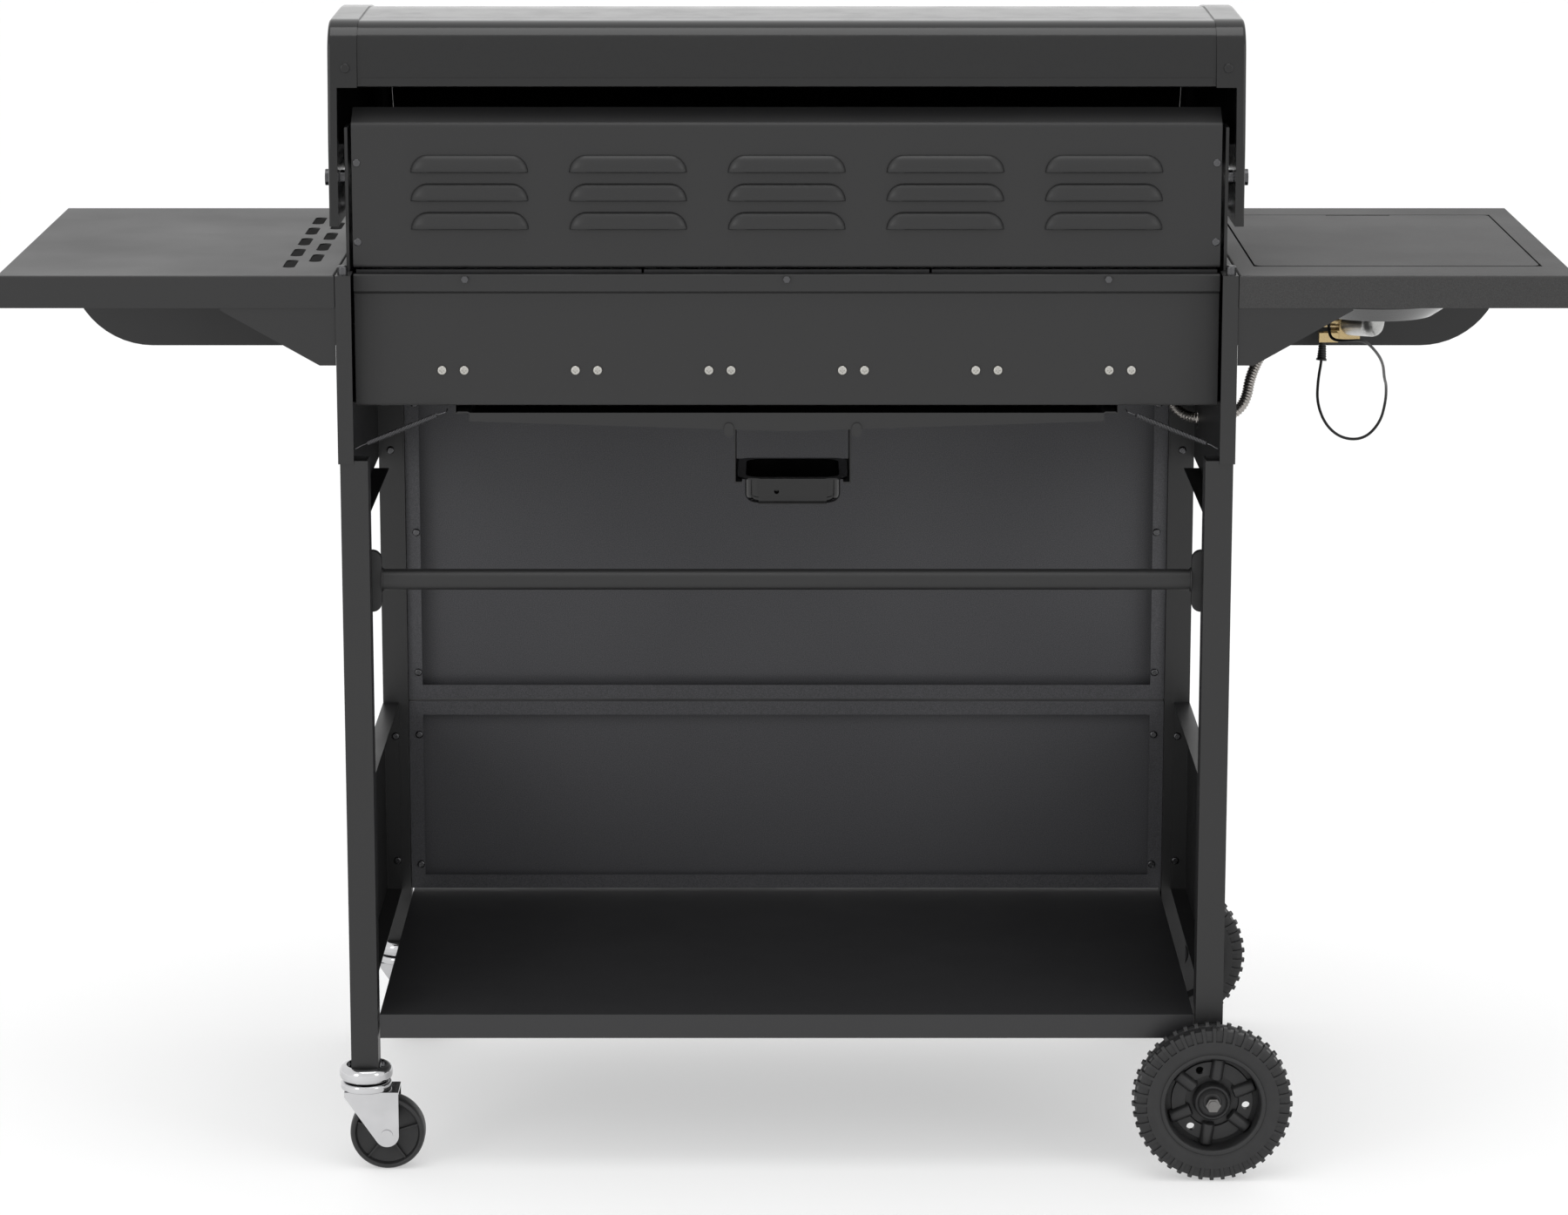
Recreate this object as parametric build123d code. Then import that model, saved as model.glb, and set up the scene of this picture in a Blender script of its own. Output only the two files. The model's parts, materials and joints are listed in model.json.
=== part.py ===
from build123d import *
import math
import os

# Gas barbecue grill: six burners and a side burner on an open cart. Millimetres, +Z up, front toward -Y.
# The origin is on the floor under the middle of the grill. Depths are measured forward from the rear
# face of the rear legs.

# Driving dimensions
REAR_Y = 244.75
SHEET = 1.2
BEND = 2.5
LEG = 27.0
LEG_HALF = 434.0
LEG_INNER = LEG_HALF - LEG
FRAME_DEPTH = 457.0
FRONT_LEG_REAR = FRAME_DEPTH - LEG
LEG_TOP = 724.0
LEG_BOTTOM_CASTER = 104.5
LEG_BOTTOM_WHEEL = 62.0
LOWER_PANEL = (165.0, 374.0)
UPPER_PANEL = (377.0, 738.0)
BOTTOM_SHELF = (137.5, 162.0)
BRACE_Z = 599.0
BRACE_R = 10.3
BRACE_DEPTH = 33.0
BRACE_END = 398.0
SHELF_TOP = 906.0
SHELF_BOTTOM = 874.5
SHELF_INNER = 436.5
SHELF_END = 763.0
SHELF_DEPTH = 466.0
APRON_BOTTOM = 758.0
FIREBOX_HALF = 420.0
FIREBOX_BOTTOM = 775.0
FIREBOX_REAR = 30.0
FIREBOX_FRONT = 455.0
FIREBOX_SIDE_TOP = 944.0
TAMER_LEDGE = 850.0
GRATE_LEDGE = 893.0
LOUVRE_BOTTOM = 911.0
LOUVRE_TOP = 1048.5
LOUVRE_FIRST_ROW = 947.5
LOUVRE_ROW_PITCH = 27.75
LOUVRE_COLUMN_PITCH = 153.3
LOUVRE_HALF = 57.0
LOUVRE_HEIGHT = 17.0
LOUVRE_RISE = 8.0
PANEL_FACE = 492.0
BURNER_PITCH = 130.0
BURNER_Z = 820.0
BURNER_R = 12.5
BURNER_SCREW_Z = 808.5
BURNER_SCREW_SPREAD = 10.8
MANIFOLD_Z = 798.0
MANIFOLD_DEPTH = 473.0
INLET_X = 360.0
INLET_R = 10.48
VALVE_REAR = 462.0
SIDE_VALVE_REAR = 433.0
STEM_R = 3.0
FIT = 0.05
SIDE_BURNER_X = -597.0
SIDE_BURNER_DEPTH = 236.0
SIDE_KNOB_Z = 788.0
SIDE_LID_HINGE_DEPTH = 66.0
SIDE_LID_HINGE_Z = SHELF_TOP - 4
SIDE_LID_PIN_R = 2.0
BOWL_FLOOR = 830.0
BOWL_FLANGE = 890.0
NECK_R = 11.5
ELBOW_Z = 818.0
ELECTRODE_OFFSET = 46.0
LID_TOP = 1149.0
LID_LIP_Z = 1085.0
LID_BOTTOM = 951.0
LID_SKIN_HALF = 413.4
CAP_OUTER = 442.0
CAP_INNER = 433.0
CAP_RIM_INNER = 413.5
HINGE_DEPTH = 45.0
HINGE_Z = 996.0
HINGE_PIN_R = 4.0
TRAY_HALF = 310.0
CUP_X = -6.0
CUP_DEPTH = 182.0
WHEEL_R = 79.5
WHEEL_WIDTH = 34.0
WHEEL_X = -423.0
WHEEL_GAP = 2.5
AXLE_R = 5.0
CASTER_R = 37.5
CASTER_TRAIL = 21.0
SPOKE_TURN = 38.0
HOLE_TURN = 68.0
CASTER_X = LEG_HALF - LEG / 2
HOSE_D = 12.0
WIRE_D = 3.0

# Section of the lid's skin and of its end caps, as (depth, z) corners with their bend radii.
LID_PATH = [(45, LID_LIP_Z), (31, LID_LIP_Z), (34, LID_TOP - 3), (230, LID_TOP), (415, 1083),
            (470, LID_BOTTOM), (458, LID_BOTTOM - 1)]
LID_RADII = [BEND, 28, 400, 190, BEND]
LID_SEAM = 83.0
CAP_PATH = [(20, LID_BOTTOM), (20, 1030), (32.5, LID_TOP - 1.5), (230, LID_TOP + 1.5), (416.3, 1084),
            (471.5, LID_BOTTOM)]
CAP_RADII = [300, 32, 400, 190]
GAUGE_DEPTH = 396.0
GAUGE_R = 28.0
HANDLE_DEPTH = 500.0
HANDLE_Z = 1002.0
HANDLE_R = 12.0
HANDLE_POSTS = (-330.0, 330.0)
HANDLE_SURFACE_DEPTH = 449.5

# Control points (x, depth, z) of the flexible gas hose and of the ignition wire.
HOSE_ROUTE = [(-570, 445, 788), (-545, 445, 788), (-514, 434, 772), (-491, 414, 738), (-485, 401, 706),
              (-464, 397, 691), (-436, 398, 690), (-413, 399, 697), (-401, 403, 718), (-400, 413, 742),
              (-400, 437, 756), (-400, 462, 752), (-400, 473, 762), (-400, 473, 776)]
WIRE_ROUTE = [(-568, 430, 768), (-568, 430, 750), (-563, 419, 730), (-561, 408, 706), (-570, 400, 683),
              (-588, 398, 669), (-611, 398, 669), (-627, 396, 687), (-631, 386, 712), (-628, 362, 734),
              (-621, 326, 747), (-614, 284, 770), (-602, 244, 789), (-586, 219, 806), (-568, 212, 806),
              (-553, 224, 805), (-551, 235, 815), (-551, 236, 830)]

BURNER_XS = [BURNER_PITCH * (i - 2.5) for i in range(6)]
BURNER_SCREW_XS = [x + side * BURNER_SCREW_SPREAD for x in BURNER_XS for side in (-1, 1)]


def y_at(depth):
    return REAR_Y - depth


def block(x, depth, z):
    """A box from low and high x, depth and z."""
    size = (x[1] - x[0], depth[1] - depth[0], z[1] - z[0])
    middle = ((x[0] + x[1]) / 2, y_at((depth[0] + depth[1]) / 2), (z[0] + z[1]) / 2)
    return Pos(*middle) * Box(*size)


def rod_x(x0, x1, depth, z, radius):
    return Pos((x0 + x1) / 2, y_at(depth), z) * Rot(0, 90, 0) * Cylinder(radius, x1 - x0)


def rod_y(x, depth0, depth1, z, radius):
    middle = y_at((depth0 + depth1) / 2)
    return Pos(x, middle, z) * Rot(90, 0, 0) * Cylinder(radius, depth1 - depth0)


def rod_z(x, depth, z0, z1, radius):
    return Pos(x, y_at(depth), (z0 + z1) / 2) * Cylinder(radius, z1 - z0)


def rod_between(start, end, radius):
    """A round bar between two points given as (x, depth, z)."""
    a = Vector(start[0], y_at(start[1]), start[2])
    b = Vector(end[0], y_at(end[1]), end[2])
    return Plane(origin=a, z_dir=b - a) * extrude(Circle(radius), amount=(b - a).length)


def hex_y(x, depth0, depth1, z, radius):
    """A hexagonal prism along the depth."""
    return on_depth(RegularPolygon(radius, 6), x, depth0, z, depth1)


def on_depth(sketch, x, depth0, z, depth1):
    """A sketch seen from the front (x right, z up), extruded from depth0 to depth1."""
    return Plane.XZ.offset(-y_at(depth0)) * Pos(x, z) * extrude(sketch, amount=depth1 - depth0)


def front_plate(points, depth0, depth1):
    return on_depth(make_face(Polyline(*points, close=True)), 0, depth0, 0, depth1)


def side_face(points, radii=None):
    """A closed face in the side view from (depth, z) points, with rounded corners between its ends."""
    flat = [(y_at(depth), z) for depth, z in points]
    if radii is None:
        return make_face(Polyline(*flat, close=True))
    line = FilletPolyline(*flat, radius=radii)
    return make_face([line, Line(line @ 1, line @ 0)])


def side_strip(points, radii, thickness, side=Side.LEFT):
    """A folded sheet's section in the side view; +Y is to the right there."""
    flat = [(y_at(depth), z) for depth, z in points]
    line = FilletPolyline(*flat, radius=radii)
    return make_face(offset(line, amount=thickness, side=side))


def along_x(face, x0, x1):
    return Plane.YZ.offset(x0) * extrude(face, amount=x1 - x0)


def mirrored(shape):
    return mirror(shape, about=Plane.YZ)


def save(name, *shapes):
    solids = [solid for shape in shapes for solid in shape.solids()]
    export_step(Compound(children=solids), f"parts/{name}.step")


def bumped_screw(x, depth, z, radius, shank=5.0, shank_r=1.8):
    """A pan head screw driven forward: its head is behind the given depth."""
    top = rod_y(x, depth - radius * 0.55, depth, z, radius)
    top = fillet(top.edges().sort_by(Axis.Y)[-1], radius * 0.3)
    arm, cut = radius * 0.55, (depth - radius, depth - radius * 0.2)
    slot = radius * 0.17
    cross = block((x - arm, x + arm), cut, (z - slot, z + slot))
    cross += block((x - slot, x + slot), cut, (z - arm, z + arm))
    return top - cross + rod_y(x, depth - 0.5, depth + shank, z, shank_r)


# ---------------------------------------------------------------- cart
def leg(x_sign, rear, bottom):
    x = (LEG_INNER, LEG_HALF) if x_sign > 0 else (-LEG_HALF, -LEG_INNER)
    depth = (0, LEG) if rear else (FRONT_LEG_REAR, FRAME_DEPTH)
    wall = 1.5
    inside = block((x[0] + wall, x[1] - wall), (depth[0] + wall, depth[1] - wall), (bottom - 1, LEG_TOP + 1))
    return block(x, depth, (bottom, LEG_TOP)) - inside


def make_legs():
    wheel_bore = rod_y(WHEEL_X, -1, FRAME_DEPTH + 1, WHEEL_R, AXLE_R + 0.1)
    near = leg(-1, True, LEG_BOTTOM_WHEEL) - wheel_bore
    far = leg(-1, False, LEG_BOTTOM_WHEEL) - wheel_bore
    save("legs", near, far, leg(1, True, LEG_BOTTOM_CASTER), leg(1, False, LEG_BOTTOM_CASTER))


def make_upper_side_panels():
    outline = [(-SHEET, SHELF_TOP), (-SHEET, 721), (34, 721), (95, 643), (366, 643), (428, 643), (460, 700),
               (460, SHELF_TOP)]
    plate = along_x(side_face(outline), LEG_HALF + 0.2, LEG_HALF + 1.7)
    rear_flange = block((420.5, LEG_HALF + 0.2), (-SHEET, 0), (721, SHELF_TOP))
    front_flange = block((408.5, LEG_HALF + 0.2), (FRONT_LEG_REAR - SHEET, FRONT_LEG_REAR), (643, 773))
    lower_flange = block((418, LEG_HALF + 0.2), (95, 366), (643, 643 + SHEET))
    top_flange = block((428, LEG_HALF + 0.2), (-SHEET, 452), (SHELF_TOP - SHEET, SHELF_TOP))
    top_flange += block((421, LEG_HALF + 0.2), (-SHEET, 30), (SHELF_TOP - SHEET, SHELF_TOP))
    panel = plate + rear_flange + front_flange + lower_flange + top_flange
    hose_hole = rod_x(430, 440, 398, 690, 9)
    save("upper_side_panels", panel, mirrored(panel) - mirrored(hose_hole))


def make_lower_side_panels():
    low, high = LOWER_PANEL
    ends = (LEG + 0.3, FRONT_LEG_REAR - 0.3)
    outer = block((LEG_HALF - 17, LEG_HALF), ends, (low, high))
    hollow = block(
        (LEG_HALF - 18, LEG_HALF - SHEET), (ends[0] + SHEET, ends[1] - SHEET), (low + SHEET, high - SHEET)
    )
    pan = outer - hollow
    save("lower_side_panels", pan, mirrored(pan))


def front_pan(low, high):
    """A front panel folded back on four sides, with a return lip facing the rear."""
    half, front, lip = LEG_INNER - 0.3, FRAME_DEPTH - 1, 15.0
    shell = block((-half, half), (front - 20, front), (low, high))
    depths = (front - 20 + SHEET, front - SHEET)
    room = block((-half + SHEET, half - SHEET), depths, (low + SHEET, high - SHEET))
    mouth = block((-half + lip, half - lip), (front - 22, front - 10), (low + lip, high - lip))
    return shell - room - mouth


def make_cart():
    make_legs()
    make_upper_side_panels()
    make_lower_side_panels()
    save("front_panels", front_pan(*LOWER_PANEL), front_pan(*UPPER_PANEL))
    bottom, top = BOTTOM_SHELF
    shelf = block((-405, 405), (2, 455), (bottom, top))
    shelf -= block((-405 + SHEET, 405 - SHEET), (2 + SHEET, 455 - SHEET), (bottom - 1, top - SHEET))
    save("bottom_shelf", shelf)
    tube = rod_x(-BRACE_END, BRACE_END, BRACE_DEPTH, BRACE_Z, BRACE_R)
    tube -= rod_x(-BRACE_END - 1, BRACE_END + 1, BRACE_DEPTH, BRACE_Z, BRACE_R - 1.5)
    plate = on_depth(RectangleRounded(30, 61, 9), BRACE_END + 15, LEG + 0.1, BRACE_Z - 1, LEG + 9)
    bead = Pos(BRACE_END - 0.6, y_at(BRACE_DEPTH), BRACE_Z) * Rot(0, 90, 0) * Torus(BRACE_R + 0.4, 1.2)
    bead -= block((BRACE_END, BRACE_END + 4), (0, 60), (BRACE_Z - 30, BRACE_Z + 30))
    bead -= rod_x(BRACE_END - 8, BRACE_END + 4, BRACE_DEPTH, BRACE_Z, BRACE_R)
    end = plate + bead
    save("rear_brace", tube + end + mirrored(end))


# ---------------------------------------------------------------- side shelves
def shelf_pan():
    """A folded shelf top on the +X side, with its rear, outer and front turned down."""
    outer = block((SHELF_INNER, SHELF_END), (0, SHELF_DEPTH - 1.4), (SHELF_BOTTOM, SHELF_TOP))
    top_edges = outer.edges().filter_by(lambda e: e.center().Z > SHELF_TOP - 0.1)
    outer = fillet(top_edges, 2.2)
    room = block(
        (SHELF_INNER + SHEET, SHELF_END - SHEET),
        (SHEET, SHELF_DEPTH - 1.4 - SHEET),
        (SHELF_BOTTOM - 1, SHELF_TOP - SHEET),
    )
    return outer - room


def shelf_supports():
    """The deep front apron with its rounded lower corner, and the rear bracket, on the +X side."""
    corner = 87.0
    apron = FilletPolyline(
        (SHELF_INNER, SHELF_TOP - 1.5),
        (SHELF_INNER, APRON_BOTTOM),
        (SHELF_END, APRON_BOTTOM),
        (SHELF_END, SHELF_TOP - 1.5),
        radius=[3, corner],
    )
    face = make_face([apron, Line(apron @ 1, apron @ 0)])
    front = on_depth(face, 0, SHELF_DEPTH - SHEET, 0, SHELF_DEPTH)
    outline = [(438, 903), (438, 874), (436.2, 874), (436.2, 818), (452, 818), (547, 872), (547, 903)]
    bracket = front_plate(outline, SHEET + 0.2, 2 * SHEET + 0.2)
    return front, bracket


def slot_hole(x, depth):
    return Pos(x, y_at(depth), SHELF_TOP) * extrude(SlotOverall(50, 12, rotation=90), amount=8, both=True)


def make_right_shelf():
    shelf = shelf_pan()
    for depth in (77, 150, 223, 296, 369):
        shelf -= slot_hole(486, depth)
    for depth in (114, 187, 260, 333):
        shelf -= slot_hole(464, depth)
    save("side_shelf", shelf)


def make_left_shelf():
    shelf = mirrored(shelf_pan())
    shelf -= block((-738, -456), (60, 413), (SHELF_TOP - 10, SHELF_TOP + 5))
    for x in (-744, -451.2):
        shelf += block((x, x + SHEET), (58, 76), (SIDE_LID_HINGE_Z - 6, SHELF_TOP - SHEET))
    shelf -= rod_x(-760, -440, SIDE_LID_HINGE_DEPTH, SIDE_LID_HINGE_Z, SIDE_LID_PIN_R + FIT)
    save("side_burner_shelf", shelf)
    left_front, left_bracket = [mirrored(piece) for piece in shelf_supports()]
    left_front -= rod_y(SIDE_BURNER_X, 460, 470, SIDE_KNOB_Z, 6)
    save("shelf_supports", left_front, left_bracket, *shelf_supports())


def make_side_burner():
    x, depth = SIDE_BURNER_X, SIDE_BURNER_DEPTH
    # Drip bowl: a flat flange with a round dished well.
    floor, flange_z, wide = BOWL_FLOOR, BOWL_FLANGE, (66, 408)
    well = [(0, floor), (60, floor + 2), (84, floor + 18), (118, flange_z), (118, SHELF_TOP), (0, SHELF_TOP)]
    outer = revolve(Plane.XZ * make_face(Polyline(*well, close=True)), Axis.Z)
    inside = [(0, floor + SHEET), (59.5, floor + 2 + SHEET), (83, floor + 19), (116.6, flange_z + SHEET),
              (116.6, SHELF_TOP + 1), (0, SHELF_TOP + 1)]
    inner = revolve(Plane.XZ * make_face(Polyline(*inside, close=True)), Axis.Z)
    place = Pos(x, y_at(depth), 0)
    flange = block((-734, -460), wide, (flange_z, flange_z + SHEET))
    bowl = (flange + place * outer) - place * inner
    bowl -= block((-740, -450), (60, 415), (flange_z + SHEET, 910))
    bowl -= rod_z(x, depth, floor - 10, floor + 10, NECK_R + 1)
    bowl -= rod_z(x + ELECTRODE_OFFSET, depth, floor - 10, floor + 10, 3)
    for side in (-734, -461.2):
        lip = block((side, side + SHEET), wide, (flange_z, SHELF_TOP - SHEET - 0.1))
        bowl += lip - block((-740, -450), (60, 80), (flange_z + 4, 910))
    save("drip_bowl", bowl)
    # Burner head on a venturi that turns down through the bowl and slopes forward to the valve.
    crown = rod_z(x, depth, 850, 866, 38) - rod_z(x, depth, 853, 867, 35)
    crown += rod_z(x, depth, 846, 850, 20)
    cap = rod_z(x, depth, 866.2, 872, 40)
    cap = fillet(cap.edges().sort_by(Axis.Z)[-1], 3)
    for i in range(24):
        port = Rot(0, 0, 15 * i) * Pos(36.5, 0, 862.5) * Box(6, 2.4, 9)
        crown -= Pos(x, y_at(depth), 0) * port
    neck = FilletPolyline((y_at(depth), 850), (y_at(depth), ELBOW_Z), (y_at(420), SIDE_KNOB_Z), radius=18)
    path = Plane.YZ.offset(x) * neck
    start = Plane(path @ 0, z_dir=path % 0)
    venturi = sweep(start * Circle(NECK_R), path) - sweep(start * Circle(NECK_R - SHEET), path)
    venturi -= block((x - 6, x + 6), (392, 408), (SIDE_KNOB_Z - 15, SIDE_KNOB_Z + 4))
    spark_x = x + ELECTRODE_OFFSET
    electrode = rod_z(spark_x, depth, BOWL_FLOOR + 3, 862, 2.5) + rod_z(spark_x, depth, BOWL_FLOOR, 833, 1.5)
    electrode += rod_z(spark_x, depth, 862, 872, 1)
    save("side_burner", venturi, crown, cap, electrode)
    # Pot support: a ring with fingers.
    ring = rod_z(x, depth, 891.4, 896, 108) - rod_z(x, depth, 891, 897, 101)
    for i in range(4):
        finger = Pos(x, y_at(depth), 0) * Rot(0, 0, 45 + 90 * i) * Pos(74, 0, 897.6) * Box(64, 5, 6)
        ring += finger
    save("pot_support", ring)
    # Lid, flush with the shelf, on two short pins at its rear corners.
    lid = block((-736, -458), (64.5, 411), (SHELF_TOP - 12, SHELF_TOP))
    lid = fillet(lid.edges().filter_by(Axis.Z), 8)
    hollow_x, hollow_depth = (-736 + SHEET, -458 - SHEET), (64.5 + SHEET, 411 - SHEET)
    lid -= block(hollow_x, hollow_depth, (SHELF_TOP - 13, SHELF_TOP - SHEET))
    lid -= block((-740, -450), (60, 80), (SHELF_TOP - 13, SHELF_TOP - SHEET - 0.01))
    lid -= block((-740, -450), (380, 415), (SHELF_TOP - 13, SHELF_TOP - SHEET - 0.01))
    notch = block((-633, -566), (407.6, 413), (SHELF_TOP - 3, SHELF_TOP + 1))
    lid -= notch
    for x0, x1, ear_x in ((-744.5, -734.8, -736), (-459.2, -449.5, -459.2)):
        lid += block((ear_x, ear_x + SHEET), (64, 90), (SIDE_LID_HINGE_Z - 4, SHELF_TOP - SHEET))
        lid += rod_x(x0, x1, SIDE_LID_HINGE_DEPTH, SIDE_LID_HINGE_Z, SIDE_LID_PIN_R)
    save("side_burner_lid", lid)


# ---------------------------------------------------------------- firebox and gas system
def make_firebox():
    side_outline = [(31.2, FIREBOX_BOTTOM), (31.2, 1046), (62, 1046), (112, FIREBOX_SIDE_TOP + 6),
                    (453.5, FIREBOX_SIDE_TOP), (453.5, FIREBOX_BOTTOM)]
    side = along_x(side_face(side_outline), 424, 427)
    side -= rod_x(420, 430, HINGE_DEPTH, HINGE_Z, HINGE_PIN_R)
    floor = block((338, 424), (34, 453.5), (FIREBOX_BOTTOM, FIREBOX_BOTTOM + SHEET))
    rail = block((324, 325.2), (47, 430), (762, FIREBOX_BOTTOM)) + block((312, 324), (47, 430), (762, 763.2))
    rail += block((325.2, 340), (47, 430), (FIREBOX_BOTTOM - SHEET, FIREBOX_BOTTOM))
    ledges = [block((421, 424), (60, 430), (z - SHEET, z)) for z in (TAMER_LEDGE, GRATE_LEDGE)]
    half = side + floor + rail + ledges[0] + ledges[1]
    front = block((-421, 421), (453.8, FIREBOX_FRONT), (FIREBOX_BOTTOM, FIREBOX_SIDE_TOP))
    for ledge in (TAMER_LEDGE, GRATE_LEDGE):
        front += block((-418, 418), (440, 453.8), (ledge - SHEET, ledge))
    for x in BURNER_XS:
        front -= rod_y(x, 450, 460, BURNER_Z, BURNER_R + 0.5)
    save("firebox_walls", half, mirrored(half), front)


def make_rear_panels():
    # Lower rear panel: its top steps out to the rear.
    low, step, top = 773.4, 884.0, 904.0
    points = [(46, low), (FIREBOX_REAR, low), (FIREBOX_REAR, step), (25, step + 3), (25, top), (32, top)]
    section = side_strip(points, [BEND, 2, 2, BEND], SHEET)
    panel = along_x(section, -FIREBOX_HALF, FIREBOX_HALF)
    for ledge in (TAMER_LEDGE, GRATE_LEDGE):
        panel += block((-418, 418), (31, 46), (ledge - SHEET, ledge))
    for x in BURNER_SCREW_XS:
        panel -= rod_y(x, 20, 40, BURNER_SCREW_Z, 2.0)
    save("firebox_rear_panel", panel)
    # Upper panel: five columns of three louvres, with its top leaning in.
    points = [(44, LOUVRE_BOTTOM), (28, LOUVRE_BOTTOM), (28, LOUVRE_TOP), (50, 1063)]
    section = side_strip(points, [BEND, 6], SHEET)
    panel = along_x(section, -FIREBOX_HALF, FIREBOX_HALF)
    for column in range(5):
        x = (column - 2) * LOUVRE_COLUMN_PITCH
        for row in range(3):
            bottom = LOUVRE_FIRST_ROW + row * LOUVRE_ROW_PITCH
            opening = (x - LOUVRE_HALF + 0.8, x + LOUVRE_HALF - 0.8)
            panel -= block(opening, (20, 35), (bottom + 0.5, bottom + 13))
            panel += louvre(x, bottom)
    save("louvred_back_panel", panel)


def louvre(x, bottom):
    """A pressed hood on the upper rear panel, open below."""
    root, crest, top = 28.6, 28 - LOUVRE_RISE, bottom + LOUVRE_HEIGHT
    shape = [(root, bottom), (crest, bottom), (crest + 0.8, bottom + 8), (crest + 4, bottom + 14), (28, top),
             (root, top)]
    inner = [(29, bottom - 1), (crest + SHEET, bottom - 1), (crest + 1.9, bottom + 7.5),
             (crest + 4.9, bottom + 12.8), (29, top - 2)]
    hood = along_x(side_face(shape), x - LOUVRE_HALF, x + LOUVRE_HALF)
    return hood - along_x(side_face(inner), x - LOUVRE_HALF + 1.5, x + LOUVRE_HALF - 1.5)


def make_control_panel():
    half = 433.0
    points = [(474, 746), (PANEL_FACE, 746), (PANEL_FACE, 905), (FIREBOX_FRONT + 0.4, 905),
              (FIREBOX_FRONT + 0.4, 893)]
    section = side_strip(points, [6, 12, BEND], SHEET, Side.RIGHT)
    panel = along_x(section, -half, half)
    for x in BURNER_XS:
        panel -= rod_y(x, 485, 495, BURNER_Z, 6)
        panel += rod_y(x, PANEL_FACE - 0.1, PANEL_FACE + 1, BURNER_Z, 30) - rod_y(x, 485, 495, BURNER_Z, 26)
    hose_notch = block((INLET_X - 17, INLET_X + 17), (470, PANEL_FACE - 4), (740, 755))
    save("control_panel", panel - hose_notch)


def make_gas_system():
    # Burner tubes with a flat rear tab, slotted ports along both sides.
    burners = []
    for x in BURNER_XS:
        tube = rod_y(x, 44, 458, BURNER_Z, BURNER_R) - rod_y(x, 46, 459, BURNER_Z, BURNER_R - 1)
        tab = block((x - 18, x + 18), (31.4, 32.6), (800, 832))
        arm = block((x - 8, x + 8), (32.6, 44.5), (BURNER_Z - 1, BURNER_Z + 1))
        tube += tab + arm
        for side in (-1, 1):
            tube -= rod_y(x + side * BURNER_SCREW_SPREAD, 20, 40, BURNER_SCREW_Z, 2.0)
        tube -= block((x - 6, x + 6), (428, 444), (BURNER_Z - 14, BURNER_Z - 6))
        burners.append(tube)
    save("burner_tubes", *burners)
    depth, pipe_r, bore_r, outlet_x = MANIFOLD_DEPTH, 9, 7, -400
    bore = rod_x(outlet_x, 390, depth, MANIFOLD_Z, bore_r)
    inlet = rod_z(INLET_X, depth, 760, 786, INLET_R) + rod_z(INLET_X, depth, 782, MANIFOLD_Z, 12)
    inlet += Pos(INLET_X, y_at(depth), 782) * extrude(RegularPolygon(14, 6), amount=8)
    inlet -= rod_z(INLET_X, depth, 759, MANIFOLD_Z, 6)
    outlet = rod_z(outlet_x, depth, 776, MANIFOLD_Z, 7) - rod_z(outlet_x, depth, 775, MANIFOLD_Z, 4)
    save("gas_manifold", rod_x(outlet_x - 8, 400, depth, MANIFOLD_Z, pipe_r) + inlet - bore + outlet)
    valves = [valve(x, VALVE_REAR, BURNER_Z, 10) for x in BURNER_XS]
    valves = [item - rod_x(-420, 420, depth, MANIFOLD_Z, pipe_r) for item in valves]
    save("main_valves", *valves)
    side_valve = valve(SIDE_BURNER_X, SIDE_VALVE_REAR, SIDE_KNOB_Z, 16)
    saddle = block((SIDE_BURNER_X - 17, SIDE_BURNER_X + 17), (456, 458), (772, 812))
    saddle += block((SIDE_BURNER_X - 17, SIDE_BURNER_X + 17), (458, SHELF_DEPTH - SHEET), (772, 773.5))
    saddle -= rod_y(SIDE_BURNER_X, 440, 470, SIDE_KNOB_Z, 6)
    gland = rod_x(SIDE_BURNER_X + 11, SIDE_BURNER_X + 27, 445, SIDE_KNOB_Z, 7)
    igniter = block((SIDE_BURNER_X + 13, SIDE_BURNER_X + 33), (425, 437), (768, 778))
    igniter += block((SIDE_BURNER_X + 9, SIDE_BURNER_X + 20), (434, 440), (769, 779))
    save("side_burner_valve", side_valve + saddle + gland + igniter)


def valve(x, rear, z, height):
    """A valve body with its orifice nose to the rear and a bore for its stem at the front."""
    body = block((x - 11, x + 11), (rear, rear + 22), (z - height - 4, z + 12))
    body = fillet(body.edges().filter_by(Axis.Y), 3)
    body += rod_y(x, rear - 9, rear, z, 4) - rod_y(x, rear - 10, rear - 4, z, 1)
    body += rod_y(x, rear + 22, rear + 26, z, 8)
    return body - rod_y(x, rear + 8, rear + 30, z, STEM_R + FIT)


def knob_set(name, x, z, valve_rear, face):
    """A stem that is pushed in, and the knob that turns on it."""
    stem = rod_y(x, valve_rear + 12, face + 28, z, STEM_R)
    collar = rod_y(x, face + 1, face + 3.6, z, 5)
    save(f"stem_{name}", stem + collar)
    skirt = rod_y(x, face + 4, face + 14, z, 22)
    skirt = fillet(skirt.edges().sort_by(Axis.Y)[0], 4)
    grip = on_depth(RectangleRounded(13, 40, 6), x, face + 12, z, face + 34)
    grip = fillet(grip.edges().group_by(Axis.Y)[0], 2.5)
    pointer = block((x - 1, x + 1), (face + 30, face + 34.3), (z + 6, z + 18))
    body = skirt + grip - pointer
    body -= rod_y(x, face + 3, face + 28.3, z, STEM_R + FIT)
    save(f"knob_{name}", body)


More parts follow.
